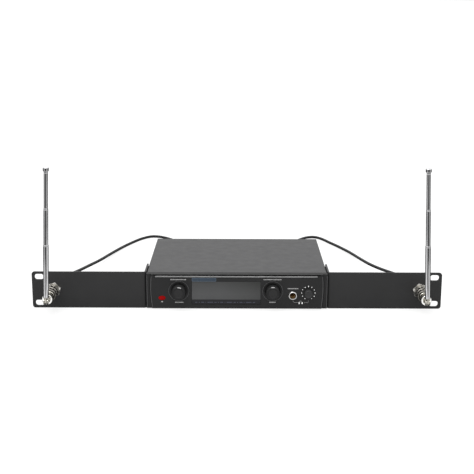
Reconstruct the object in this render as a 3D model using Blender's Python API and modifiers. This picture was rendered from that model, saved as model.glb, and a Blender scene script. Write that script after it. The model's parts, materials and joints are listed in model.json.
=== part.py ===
"""Half-rack wireless receiver in a 19-inch, one-unit rack mounting.

The origin is the middle of the receiver's underside. +X is to the right as seen from the front,
+Y runs from the front panel to the back and +Z is up. Every size below is in millimetres.
"""

import math

import bmesh
import bpy
from mathutils import Matrix

MM = 0.001
GAP = 0.3
# Sides on a large, a middling and a small round piece
FINE_ROUND = 28
ROUND = 20
SMALL_ROUND = 16

# Receiver box
BODY_WIDTH = 213.0
BODY_DEPTH = 165.7
BODY_TOP = 42.6
SHEET = 1.2
COVER_SIDE = BODY_WIDTH / 2
COVER_FRONT = -BODY_DEPTH / 2
COVER_BACK = BODY_DEPTH / 2

# Front panel
FACE_Y = COVER_FRONT - 9.3
PANEL_BOTTOM = 1.0
PANEL_TOP = 42.9
PANEL_WALL = 5.0
PANEL_BACK = COVER_FRONT - GAP
INNER_FACE_Y = FACE_Y + PANEL_WALL
KNOB_Z = 22.4
VOLUME_X = -68.1
MENU_X = 42.1
KNOB_DIAMETER = 16.0
KNOB_FRONT = FACE_Y - 10.6
DISH_DEPTH = 3.0
WINDOW_LOW = (-53.2, 6.0)
WINDOW_HIGH = (28.3, 34.3)
JACK_X, JACK_Z = 65.8, 17.3
JACK_BORE = 6.35
LEVEL_X, LEVEL_Z = 84.1, 20.4
IR_X, IR_Z = -88.0, 13.8

# Rack ears, to the 19-inch rack's hole spacing
RACK_WIDTH = 482.6
RACK_HEIGHT = 44.0
EAR_SHEET = 2.0
EAR_FRONT = FACE_Y + 5.0
EAR_INNER = COVER_SIDE + GAP
EAR_CORNER = 3.3
BEND_RADIUS = 3.0
FLANGE_BACK = EAR_FRONT + 38.0
SLOT_X = 465.1 / 2
SLOT_SPACING = 31.75
SLOT_LENGTH = 10.6
SLOT_WIDTH = 6.8

# Coaxial connectors, measured outwards from the sheet that they go through
COAX_THREAD = 9.4
COAX_HOLE = 9.9
COAX_BARREL = 9.6
COAX_REACH = 11.0
HEX_FLATS = 14.0
PLUG_LENGTH = 34.0
SOCKET_X, SOCKET_Z = 75.0, 22.0
REAR_SHEET = 1.5
REAR_FACE = COVER_BACK - 1.85
XLR_X = 32.0
LINE_X = -4.0
POWER_X = -36.0
REAR_ROW_Z = 22.0

# Telescopic antennas, upright from a folding foot on the front of each ear
ANTENNA_X = 216.1
ANTENNA_Z = 22.6
RING_FACE = 41.5
RING_RADIUS = 5.9
PIVOT_REACH = 48.5
LEAN = math.radians(2.3)
FORK_SLOT = 2.3
FORK_WIDTH = 5.4
FORK_RADIUS = 3.2
TUBE_A = {"outer": 6.2, "inner": 5.7, "low": 5.2, "high": 66.3}
TUBE_B = {"outer": 5.4, "inner": 5.0, "low": 49.0, "high": 107.9}
TUBE_C = {"outer": 4.7, "inner": 4.25, "low": 92.0, "high": 149.2}
ROD_DIAMETER = 3.9
ROD_LOW = 98.0
CAP_DIAMETER = 6.7
ANTENNA_TIP = 154.2

# Coaxial leads, from the receiver's back to the back of each ear
LEAD_DIAMETER = 3.5
LEAD_STEP = 10.5
LEAD_LEFT = [
    (-75.0, 115.3, 22.0),
    (-75.3, 127.0, 21.6),
    (-76.4, 141.0, 19.6),
    (-78.8, 158.0, 15.8),
    (-82.4, 179.3, 11.6),
    (-87.9, 203.2, 8.2),
    (-96.4, 226.9, 5.6),
    (-108.3, 247.4, 3.6),
    (-119.1, 258.7, 2.6),
    (-130.9, 260.3, 2.2),
    (-143.6, 246.5, 2.1),
    (-156.2, 220.9, 2.1),
    (-168.3, 188.2, 2.4),
    (-178.8, 148.1, 3.8),
    (-187.3, 106.0, 6.4),
    (-195.5, 64.1, 10.5),
    (-202.0, 23.1, 15.4),
    (-208.1, -9.6, 19.4),
    (-214.1, -32.0, 21.9),
    (-215.9, -43.0, 22.5),
    (-216.1, -50.8, 22.6),
]
LEAD_RIGHT = [
    (75.0, 115.3, 22.0),
    (75.2, 127.0, 21.6),
    (76.0, 141.0, 19.6),
    (77.8, 158.0, 15.8),
    (80.6, 179.6, 11.8),
    (85.1, 203.2, 8.4),
    (91.6, 226.1, 5.8),
    (100.4, 246.3, 3.8),
    (109.0, 257.4, 2.7),
    (118.2, 260.1, 2.2),
    (127.7, 249.7, 2.1),
    (137.5, 227.4, 2.1),
    (148.5, 201.2, 2.4),
    (160.2, 163.8, 3.8),
    (168.9, 120.6, 6.6),
    (176.5, 75.7, 10.8),
    (184.8, 36.9, 15.2),
    (195.3, 4.6, 18.6),
    (208.1, -27.0, 21.4),
    (214.6, -41.5, 22.4),
    (216.1, -50.8, 22.6),
]

FACING_FRONT = (math.radians(90), 0, 0)
FACING_BACK = (math.radians(-90), 0, 0)

for old in list(bpy.data.objects):
    bpy.data.objects.remove(old)

parts = bpy.data.collections.new("wireless_receiver")
cutters = bpy.data.collections.new("cutters")
bpy.context.scene.collection.children.link(parts)
bpy.context.scene.collection.children.link(cutters)


def material(name, colour, roughness, metallic=0.0, alpha=1.0):
    """A Principled material, made once for each name."""
    if name in bpy.data.materials:
        return bpy.data.materials[name]
    made = bpy.data.materials.new(name)
    made.use_nodes = True
    shader = made.node_tree.nodes["Principled BSDF"]
    shader.inputs["Base Color"].default_value = (*colour, 1.0)
    shader.inputs["Roughness"].default_value = roughness
    shader.inputs["Metallic"].default_value = metallic
    shader.inputs["Alpha"].default_value = alpha
    made.diffuse_color = (*colour, alpha)
    return made


def painted_steel():
    return material("painted_steel", (0.17, 0.17, 0.17), 0.5, 0.2)


def black_steel():
    return material("black_steel", (0.035, 0.035, 0.037), 0.45, 0.2)


def black_plastic():
    return material("black_plastic", (0.03, 0.03, 0.032), 0.4)


def knob_plastic():
    return material("knob_plastic", (0.025, 0.025, 0.027), 0.5)


def nickel():
    return material("nickel", (0.62, 0.6, 0.55), 0.22, 1.0)


def chrome():
    return material("chrome", (0.7, 0.7, 0.71), 0.12, 1.0)


def silver():
    return material("silver", (0.42, 0.42, 0.43), 0.35, 1.0)


def blue_plate():
    return material("blue_plate", (0.08, 0.13, 0.2), 0.4)


def smoked_window():
    return material("smoked_window", (0.06, 0.06, 0.065), 0.08, 0.0, 0.35)


def display_face():
    return material("display_face", (0.1, 0.1, 0.105), 0.5)


def red_lens():
    return material("red_lens", (0.45, 0.005, 0.008), 0.2)


def board():
    return material("board", (0.02, 0.11, 0.05), 0.5)


def tinned_steel():
    return material("tinned_steel", (0.6, 0.6, 0.58), 0.35, 1.0)


def rubber():
    return material("rubber", (0.02, 0.02, 0.02), 0.6)


def show(obj, finish):
    """Puts a finished piece in the parts' collection with its own material."""
    parts.objects.link(obj)
    obj.data.materials.clear()
    obj.data.materials.append(finish)
    return obj


def hide(obj):
    """Puts a cutter, or a shape that is joined to another, out of sight."""
    cutters.objects.link(obj)
    obj.hide_render = True
    obj.display_type = "WIRE"
    return obj


def place(obj, location, rotation=(0, 0, 0), parent=None):
    obj.location = [value * MM for value in location]
    obj.rotation_euler = rotation
    obj.parent = parent
    return obj


def hub(name, location, rotation=(0, 0, 0), parent=None):
    """An empty that stands on a joint's axis."""
    empty = bpy.data.objects.new(name, None)
    parts.objects.link(empty)
    empty.empty_display_size = 10 * MM
    return place(empty, location, rotation, parent)


def block(name, low, high, parent=None):
    """A box between two corners."""
    size = [(b - a) * MM for a, b in zip(low, high)]
    shape = bmesh.new()
    bmesh.ops.create_cube(shape, size=1.0, matrix=Matrix.Diagonal((*size, 1.0)))
    mesh = bpy.data.meshes.new(name)
    shape.to_mesh(mesh)
    shape.free()
    middle = [(a + b) / 2 for a, b in zip(low, high)]
    return place(bpy.data.objects.new(name, mesh), middle, parent=parent)


def turned(name, profile, location, rotation=(0, 0, 0), parent=None, steps=ROUND, ring=False):
    """A profile of (radius, height) turned about local Z, down its outer side from the top."""
    points = [(radius * MM, 0, height * MM) for radius, height in profile]
    edges = [(i, i + 1) for i in range(len(points) - 1)]
    if ring:
        edges.append((len(points) - 1, 0))
    mesh = bpy.data.meshes.new(name)
    mesh.from_pydata(points, edges, [])
    obj = place(bpy.data.objects.new(name, mesh), location, rotation, parent)
    turn = obj.modifiers.new("Turn", "SCREW")
    turn.axis = "Z"
    turn.steps = steps
    turn.render_steps = steps
    turn.use_merge_vertices = True
    turn.merge_threshold = 0.00001
    turn.use_smooth_shade = True
    return obj


def rod(name, radius, low, high, location, rotation=(0, 0, 0), parent=None, steps=ROUND):
    """A plain cylinder along local Z."""
    profile = [(0, high), (radius, high), (radius, low), (0, low)]
    return turned(name, profile, location, rotation, parent, steps)


def pipe(name, outer, inner, low, high, location, rotation=(0, 0, 0), parent=None, steps=ROUND):
    """A cylinder with a bore right through it."""
    profile = [(outer, high), (outer, low), (inner, low), (inner, high)]
    return turned(name, profile, location, rotation, parent, steps, ring=True)


def hexagon(name, flats, low, high, location, rotation=(0, 0, 0), parent=None):
    """A six-sided bar along local Z."""
    return rod(name, flats / math.sqrt(3), low, high, location, rotation, parent, steps=6)


def arc(centre, radius, start, end, count):
    """Points on an arc, from one angle in degrees to the other."""
    angles = [math.radians(start + (end - start) * i / count) for i in range(count + 1)]
    return [
        (centre[0] + radius * math.cos(a), centre[1] + radius * math.sin(a)) for a in angles
    ]


def rounded(low, high, radius, count=5):
    """The outline of a rectangle with round corners."""
    x0, y0, x1, y1 = low[0] + radius, low[1] + radius, high[0] - radius, high[1] - radius
    return (
        arc((x1, y1), radius, 0, 90, count)
        + arc((x0, y1), radius, 90, 180, count)
        + arc((x0, y0), radius, 180, 270, count)
        + arc((x1, y0), radius, 270, 360, count)
    )


def slab(name, outline, low, high, rotation=(0, 0, 0), location=(0, 0, 0), parent=None):
    """A flat outline, filled and made thick along local Z from low to high."""
    curve = bpy.data.curves.new(name, "CURVE")
    curve.dimensions = "2D"
    curve.fill_mode = "BOTH"
    curve.extrude = (high - low) / 2 * MM
    spline = curve.splines.new("POLY")
    spline.points.add(len(outline) - 1)
    for point, (x, y) in zip(spline.points, outline):
        point.co = (x * MM, y * MM, 0, 1)
    spline.use_cyclic_u = True
    drawn = bpy.data.objects.new(name + "_outline", curve)
    bpy.context.scene.collection.objects.link(drawn)
    bpy.context.view_layer.update()
    mesh = bpy.data.meshes.new_from_object(
        drawn.evaluated_get(bpy.context.evaluated_depsgraph_get())
    )
    bpy.data.objects.remove(drawn)
    bpy.data.curves.remove(curve)
    shape = bmesh.new()
    shape.from_mesh(mesh)
    bmesh.ops.remove_doubles(shape, verts=shape.verts, dist=0.000001)
    bmesh.ops.translate(shape, verts=shape.verts, vec=(0, 0, (low + high) / 2 * MM))
    bmesh.ops.dissolve_limit(
        shape, angle_limit=math.radians(0.5), verts=shape.verts, edges=shape.edges
    )
    shape.to_mesh(mesh)
    shape.free()
    return place(bpy.data.objects.new(name, mesh), location, rotation, parent)


def upright(name, outline, front, back, location=(0, 0, 0), parent=None):
    """An (x, z) outline made thick along Y, from its front to its back."""
    return slab(name, outline, -back, -front, FACING_FRONT, location, parent)


def boolean(obj, other, operation):
    change = obj.modifiers.new(other.name, "BOOLEAN")
    change.operation = operation
    change.solver = "EXACT"
    change.object = hide(other)
    return obj


def cut(obj, *others):
    for other in others:
        boolean(obj, other, "DIFFERENCE")
    return obj


def join(obj, *others):
    for other in others:
        boolean(obj, other, "UNION")
    return obj


def bevelled(obj, width, segments=2):
    """Rounds the sharp edges of a piece."""
    round_off = obj.modifiers.new("Round", "BEVEL")
    round_off.width = width * MM
    round_off.segments = segments
    round_off.limit_method = "ANGLE"
    round_off.angle_limit = math.radians(40)
    return obj


# Sheet-metal box


def chassis_base():
    """A tray: the bottom, with a low flange up each side."""
    side = COVER_SIDE - SHEET - GAP
    tray = block("chassis_base", (-side, COVER_FRONT + GAP, 0), (side, COVER_BACK - 0.6, 14))
    hollow = block(
        "base_hollow",
        (-side + SHEET, COVER_FRONT - 5, SHEET),
        (side - SHEET, COVER_BACK + 5, 20),
    )
    return show(cut(tray, hollow), painted_steel())


def top_cover():
    """The top and both sides in one bent sheet, open below."""
    shell = block(
        "top_cover", (-COVER_SIDE, COVER_FRONT, 1.0), (COVER_SIDE, COVER_BACK, BODY_TOP)
    )
    bevelled(shell, 0.8)
    hollow = block(
        "cover_hollow",
        (-COVER_SIDE + SHEET, COVER_FRONT - 5, -5),
        (COVER_SIDE - SHEET, COVER_BACK + 5, BODY_TOP - SHEET),
    )
    return show(cut(shell, hollow), painted_steel())


def rear_panel():
    """The back sheet, with a hole for each socket."""
    side = COVER_SIDE - 2 * SHEET - 2 * GAP
    front = REAR_FACE - REAR_SHEET
    panel = block(
        "rear_panel",
        (-side, front, SHEET + GAP),
        (side, REAR_FACE, BODY_TOP - SHEET - GAP),
    )
    holes = [(-SOCKET_X, SOCKET_Z, COAX_HOLE / 2), (SOCKET_X, SOCKET_Z, COAX_HOLE / 2)]
    holes += [(XLR_X, REAR_ROW_Z, 12.0), (LINE_X, REAR_ROW_Z, 5.0), (POWER_X, REAR_ROW_Z, 5.8)]
    for number, (x, z, radius) in enumerate(holes):
        name = f"rear_hole_{number}"
        cut(panel, rod(name, radius, -5, 5, (x, REAR_FACE, z), FACING_BACK, steps=SMALL_ROUND))
    return show(panel, painted_steel())


def xlr_socket():
    """A three-pin output: a square flange and a round cup that is open at the back."""
    place_at = (XLR_X, REAR_FACE, REAR_ROW_Z)
    body = turned(
        "xlr_socket",
        [
            (11.6, GAP),
            (11.6, -18.0),
            (0, -18.0),
            (0, -9.0),
            (9.4, -9.0),
            (9.4, GAP),
        ],
        place_at,
        FACING_BACK,
        steps=SMALL_ROUND,
        ring=True,
    )
    flange = upright(
        "xlr_flange", rounded((-13, -14.5), (13, 14.5), 3.0, 3), GAP, 2.2, place_at
    )
    mouth = rod("xlr_mouth", 9.4, -1, 5, place_at, FACING_BACK, steps=SMALL_ROUND)
    join(body, flange)
    return show(cut(body, mouth), black_plastic())


def jack(name, x, z, sheet_y, rotation, reach, depth):
    """A 6.35 mm jack: a block behind the sheet, and a bushing with a bore open at its end."""
    outwards = -1 if rotation == FACING_FRONT else 1
    inner, outer = sheet_y - outwards * GAP, sheet_y - outwards * depth
    body = block(
        name, (x - 7, min(inner, outer), z - 6.5), (x + 7, max(inner, outer), z + 6.5)
    )
    bushing = rod(name + "_bushing", 4.3, -4, reach, (x, sheet_y, z), rotation, steps=SMALL_ROUND)
    bore = rod(
        name + "_bore", JACK_BORE / 2, -depth + 2.5, reach + 2, (x, sheet_y, z), rotation
    )
    join(body, bushing)
    return show(cut(body, bore), nickel())


def power_inlet():
    """A barrel-type power inlet with its centre pin."""
    body = turned(
        "power_inlet",
        [
            (0, -1.0),
            (1.0, -1.0),
            (1.0, -9.0),
            (3.1, -9.0),
            (3.1, 1.6),
            (6.6, 1.6),
            (6.6, GAP),
            (5.5, GAP),
            (5.5, -12.0),
            (0, -12.0),
        ],
        (POWER_X, REAR_FACE, REAR_ROW_Z),
        FACING_BACK,
        steps=SMALL_ROUND,
    )
    return show(body, black_plastic())


# Front panel and what it carries


def end_cap_cutter(name, side):
    """Takes the panel's end back, behind the curved edge of its raised face."""
    edge, bow, middle = 101.4, 104.0, 25.5
    heights = [PANEL_BOTTOM - 3 + i * (PANEL_TOP - PANEL_BOTTOM + 6) / 14 for i in range(15)]
    outline = [(side * (edge - (z - middle) ** 2 / bow), z) for z in heights]
    outline += [(side * 115, heights[-1]), (side * 115, heights[0])]
    return upright(name, outline, FACE_Y - 5, FACE_Y + 0.9)


def dish_cutter(name, x):
    """A sloping round recess, with a hole for the shaft in its floor."""
    profile = [
        (0, 2.0),
        (11.8, 2.0),
        (11.8, 0.1),
        (11.4, -0.4),
        (9.9, -0.9),
        (9.6, -DISH_DEPTH),
        (4.0, -DISH_DEPTH),
        (4.0, -12.0),
        (0, -12.0),
    ]
    return turned(name, profile, (x, FACE_Y, KNOB_Z), FACING_FRONT, steps=FINE_ROUND)


def ellipse(x, z, width, height, count=24):
    angles = [2 * math.pi * i / count for i in range(count)]
    return [(x + width / 2 * math.cos(a), z + height / 2 * math.sin(a)) for a in angles]


def front_panel():
    panel = block(
        "front_panel",
        (-COVER_SIDE, FACE_Y, PANEL_BOTTOM),
        (COVER_SIDE, PANEL_BACK, PANEL_TOP),
    )
    bevelled(panel, 0.7)
    hollow = block(
        "panel_hollow",
        (-COVER_SIDE + 2, INNER_FACE_Y, PANEL_BOTTOM + 2),
        (COVER_SIDE - 2, PANEL_BACK + 5, PANEL_TOP - 2),
    )
    cut(panel, hollow)
    cut(panel, end_cap_cutter("end_cap_left", -1), end_cap_cutter("end_cap_right", 1))
    shadow_line = block(
        "shadow_line", (-98.2, FACE_Y - 2, 41.0), (98.2, FACE_Y + 2.2, 42.2)
    )
    strip_seat = block("strip_seat", (-97.0, FACE_Y - 2, 38.6), (96.0, FACE_Y + 0.9, 41.5))
    cut(panel, shadow_line, strip_seat)
    cut(panel, dish_cutter("volume_dish", VOLUME_X), dish_cutter("menu_dish", MENU_X))
    window_seat = upright(
        "window_seat", rounded(WINDOW_LOW, WINDOW_HIGH, 1.0, 3), FACE_Y - 2, FACE_Y + 2.0
    )
    view = upright(
        "window_view", rounded((-51.4, 11.4), (26.5, 33.4), 0.8, 3), FACE_Y - 2, FACE_Y + 9
    )
    cut(panel, window_seat, view)
    at_jack = (JACK_X, FACE_Y, JACK_Z)
    at_level = (LEVEL_X, FACE_Y, LEVEL_Z)
    cut(panel, rod("jack_hole", 4.6, -9, 3, at_jack, FACING_FRONT, steps=SMALL_ROUND))
    cut(panel, rod("level_hole", 2.4, -9, 3, at_level, FACING_FRONT, steps=SMALL_ROUND))
    cut(panel, upright("ir_hole", ellipse(IR_X, IR_Z, 8.8, 5.6), FACE_Y - 2, FACE_Y + 9))
    return show(panel, black_plastic())


def trim_strip():
    strip = block("trim_strip", (-96.6, FACE_Y - 0.3, 38.9), (95.6, FACE_Y + 0.6, 40.8))
    return show(bevelled(strip, 0.25, 1), silver())


def badge_plate():
    """A plain coloured plate above the window."""
    outline = rounded((-52.8, 34.7), (-24.3, 38.3), 0.6, 2)
    return show(upright("badge_plate", outline, FACE_Y - 0.55, FACE_Y - 0.1), blue_plate())


def display_window():
    low = [value + 0.2 for value in WINDOW_LOW]
    high = [value - 0.2 for value in WINDOW_HIGH]
    outline = rounded(low, high, 0.9, 3)
    return show(
        upright("display_window", outline, FACE_Y + 0.15, FACE_Y + 1.75), smoked_window()
    )


def display_module():
    front = INNER_FACE_Y + GAP
    module = block("display_module", (-58.0, front, 9.0), (33.0, front + 6.0, 36.5))
    return show(module, display_face())


def ir_lens():
    lens = upright(
        "ir_lens", ellipse(IR_X, IR_Z, 8.4, 5.2), FACE_Y - 0.4, INNER_FACE_Y + 1.5
    )
    return show(bevelled(lens, 0.3, 1), red_lens())


def jack_ring():
    """The threaded ring that holds the headphone socket, in front of the panel."""
    profile = [
        (4.5, 2.0),
        (4.9, 1.6),
        (4.9, 0.2),
        (4.5, 0.2),
    ]
    return show(
        turned(
            "jack_ring",
            profile,
            (JACK_X, FACE_Y, JACK_Z),
            FACING_FRONT,
            ring=True,
        ),
        nickel(),
    )


def pushing_knob(side, x):
    """A knob on a shaft that turns, and that pushes a plunger inside a fixed body."""
    body_front, body_back = INNER_FACE_Y + GAP + 0.2, INNER_FACE_Y + 9.6
    body = block(
        side + "_encoder",
        (x - 7, body_front, KNOB_Z - 7),
        (x + 7, body_back, KNOB_Z + 7),
    )
    cut(body, rod(side + "_encoder_bore", 3.3, -30, 30, (x, body_front, KNOB_Z), FACING_BACK))
    show(body, tinned_steel())
    axis = hub(side + "_axis", (x, FACE_Y, KNOB_Z), FACING_FRONT)
    shaft_end = -(INNER_FACE_Y + 5.3 - FACE_Y)
    knob_depth = FACE_Y - KNOB_FRONT
    shaft = rod(
        side + "_shaft", 3.0, shaft_end, knob_depth - 2.2, (0, 0, 0), parent=axis, steps=SMALL_ROUND
    )
    show(shaft, tinned_steel())
    plunger = rod(
        side + "_plunger", 2.9, shaft_end - 3.4, shaft_end - GAP, (0, 0, 0), parent=axis
    )
    show(plunger, black_plastic())
    radius = KNOB_DIAMETER / 2
    profile = [
        (0, knob_depth - 0.5),
        (5.2, knob_depth - 0.5),
        (5.7, knob_depth),
        (radius - 0.9, knob_depth),
        (radius - 0.2, knob_depth - 0.8),
        (radius, -1.75),
        (3.2, -1.75),
        (3.2, knob_depth - 1.9),
        (0, knob_depth - 1.9),
    ]
    show(turned(side + "_knob", profile, (0, 0, 0), parent=axis, steps=FINE_ROUND), knob_plastic())


def level_knob():
    axis = hub("level_axis", (LEVEL_X, FACE_Y, LEVEL_Z), FACING_FRONT)
    profile = [
        (0, 6.6),
        (3.2, 6.6),
        (3.7, 7.0),
        (4.3, 7.0),
        (4.75, 6.5),
        (4.75, 0.4),
        (2.0, 0.4),
        (2.0, -8.6),
        (0, -8.6),
    ]
    show(turned("level_knob", profile, (0, 0, 0), parent=axis), knob_plastic())
    front = INNER_FACE_Y + GAP
    body = block(
        "level_control",
        (LEVEL_X - 5.5, front, LEVEL_Z - 5.5),
        (LEVEL_X + 5.5, front + 7.5, LEVEL_Z + 5.5),
    )
    bore = rod("level_bore", 2.3, -9.5, 5, (0, 0, 0), parent=axis, steps=SMALL_ROUND)
    show(cut(body, bore), tinned_steel())


# Circuit inside


def main_board():
    shape = block("main_board", (-98, INNER_FACE_Y + 11, 5.0), (98, 56, 6.6))
    return show(shape, board())


def rf_shield():
    """A folded screening can over the radio circuit, open below."""
    can = block("rf_shield", (-62, -22, 6.9), (62, 44, 20.0))
    hollow = block("shield_hollow", (-61.2, -21.2, 0), (61.2, 43.2, 19.2))
    return show(cut(can, hollow), tinned_steel())


# Rack ears


def rack_ear(side_name, side):
    """A slotted front plate with a flange bent back along the receiver's side."""
    half = RACK_WIDTH / 2
    inner = EAR_INNER
    rear = EAR_FRONT + EAR_SHEET
    inset = EAR_INNER + EAR_SHEET + BEND_RADIUS
    front_outline = (
        [(inset - 0.5, 0), (inset - 0.5, RACK_HEIGHT)]
        + arc((half - EAR_CORNER, RACK_HEIGHT - EAR_CORNER), EAR_CORNER, 90, 0, 6)
        + arc((half - EAR_CORNER, EAR_CORNER), EAR_CORNER, 0, -90, 6)
    )
    bend_outline = (
        [(inset + 1, rear), (inset + 1, EAR_FRONT)]
        + arc((inner + BEND_RADIUS, EAR_FRONT + BEND_RADIUS), BEND_RADIUS, 270, 180, 6)
        + [(inner, FLANGE_BACK), (inner + EAR_SHEET, FLANGE_BACK)]
        + arc(
            (inner + BEND_RADIUS, EAR_FRONT + BEND_RADIUS), BEND_RADIUS - EAR_SHEET, 180, 270, 4
        )
    )
    bend_outline = [(side * x, y) for x, y in bend_outline]
    front_outline = [(side * x, z) for x, z in front_outline]
    ear = slab("rack_ear_" + side_name, bend_outline, 0, RACK_HEIGHT)
    join(ear, upright("ear_plate_" + side_name, front_outline, EAR_FRONT, rear))
    for level in (-1, 1):
        x, z = side * SLOT_X, RACK_HEIGHT / 2 + level * SLOT_SPACING / 2
        outline = rounded(
            (x - SLOT_LENGTH / 2, z - SLOT_WIDTH / 2),
            (x + SLOT_LENGTH / 2, z + SLOT_WIDTH / 2),
            SLOT_WIDTH / 2 - 0.3,
            6,
        )
        name = f"ear_slot_{side_name}_{level + 1}"
        cut(ear, upright(name, outline, EAR_FRONT - 5, rear + 5))
    hole_at = (side * ANTENNA_X, rear, ANTENNA_Z)
    name = "ear_hole_" + side_name
    cut(ear, rod(name, COAX_HOLE / 2, -8, 8, hole_at, FACING_BACK, steps=SMALL_ROUND))
    return show(ear, black_steel())


# Coaxial connectors


def coax_barrel(name, location, rotation, start):
    """A socket's barrel, with a stepped bore and two bayonet lugs, from start outwards."""
    radius = COAX_BARREL / 2
    profile = [
        (radius - 0.4, COAX_REACH),
        (radius, COAX_REACH - 0.4),
        (radius, start),
        (0, start),
        (0, start + 1),
        (2.6, start + 1),
        (2.6, COAX_REACH - 0.6),
        (3.2, COAX_REACH),
    ]
    barrel = turned(name, profile, location, rotation, steps=SMALL_ROUND, ring=True)
    lugs = block(name + "_lugs", (-5.4, -0.9, 7.2), (5.4, 0.9, 9.0))
    place(lugs, location, rotation)
    lift = Matrix.Translation((0, 0, 8.1 * MM))
    lugs.data.transform(lift)
    keep = rod(name + "_lug_bore", 3.8, 0, 20, location, rotation, steps=SMALL_ROUND)
    cut(lugs, keep)
    return join(barrel, lugs)


def rear_socket(side_name, side):
    """A socket that goes through the receiver's back."""
    at = (side * SOCKET_X, REAR_FACE, SOCKET_Z)
    name = "rear_socket_" + side_name
    socket = coax_barrel(name, at, FACING_BACK, 0.5)
    thread = rod(name + "_thread", COAX_THREAD / 2, -4, 1.2, at, FACING_BACK, steps=SMALL_ROUND)
    collar = hexagon(name + "_hex", HEX_FLATS, GAP, 2.6, at, FACING_BACK)
    inner_flange = -REAR_SHEET - GAP
    inside = rod(name + "_inside", 6.4, -10, inner_flange, at, FACING_BACK, steps=SMALL_ROUND)
    return show(join(socket, thread, collar, inside), nickel())


def bulkhead(side_name, side):
    """A two-ended socket through the ear, with a hexagon behind and a nut in front."""
    name = "bulkhead_" + side_name
    behind = (side * ANTENNA_X, EAR_FRONT + EAR_SHEET, ANTENNA_Z)
    ahead = (side * ANTENNA_X, EAR_FRONT, ANTENNA_Z)
    socket = coax_barrel(name, behind, FACING_BACK, 0.5)
    front_barrel = coax_barrel(name + "_front", ahead, FACING_FRONT, 0.5)
    thread = rod(name + "_thread", COAX_THREAD / 2, -4.5, 1.2, behind, FACING_BACK, steps=SMALL_ROUND)
    collar = hexagon(name + "_hex", HEX_FLATS, GAP, 2.6, behind, FACING_BACK)
    show(join(socket, thread, collar, front_barrel), nickel())
    nut = hexagon("bulkhead_nut_" + side_name, HEX_FLATS, GAP, 2.6, ahead, FACING_FRONT)
    cut(nut, rod(name + "_nut_bore", 5.0, -3, 6, ahead, FACING_FRONT, steps=SMALL_ROUND))
    show(nut, nickel())


def bayonet_collar(name, location, rotation):
    """The quarter-turn ring round a plug, with an inner lip that holds the plug's flange."""
    profile = [
        (6.4, 14.2),
        (7.2, 13.4),
        (7.2, 4.0),
        (6.8, 3.2),
        (5.75, 3.2),
        (5.75, 12.3),
        (4.4, 12.3),
        (4.4, 14.2),
    ]
    return show(turned(name, profile, location, rotation, ring=True), nickel())


def long_collar(name, location):
    """An antenna's quarter-turn ring, which carries on forwards as a sleeve round the plug."""
    profile = [
        (6.8, 25.5),
        (7.2, 25.1),
        (7.2, 17.9),
        (6.8, 17.5),
        (6.8, 16.9),
        (7.2, 16.5),
        (7.2, 9.2),
        (6.5, 8.6),
        (6.5, 3.2),
        (5.75, 3.2),
        (5.75, 12.3),
        (4.4, 12.3),
        (4.4, 14.2),
        (5.9, 14.2),
        (5.9, 25.5),
    ]
    return show(turned(name, profile, location, FACING_FRONT, ring=True), nickel())


PLUG_NOSE = [
    (4.0, 14.6),
    (4.0, 12.0),
    (5.4, 12.0),
    (5.4, 11.3),
    (2.2, 11.3),
    (2.2, 4.0),
    (0, 4.0),
]


def lead_plug(name, location):
    """A lead's plug: nose, body, crimped ferrule and a tapered strain relief."""
    tail = [
        (0, PLUG_LENGTH),
        (2.6, PLUG_LENGTH),
        (3.2, 26.6),
        (3.2, 20.0),
        (4.2, 20.0),
        (5.1, 19.2),
        (5.1, 14.6),
    ]
    show(turned(name, tail + PLUG_NOSE, location, FACING_BACK, steps=SMALL_ROUND), nickel())


# Antennas


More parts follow.
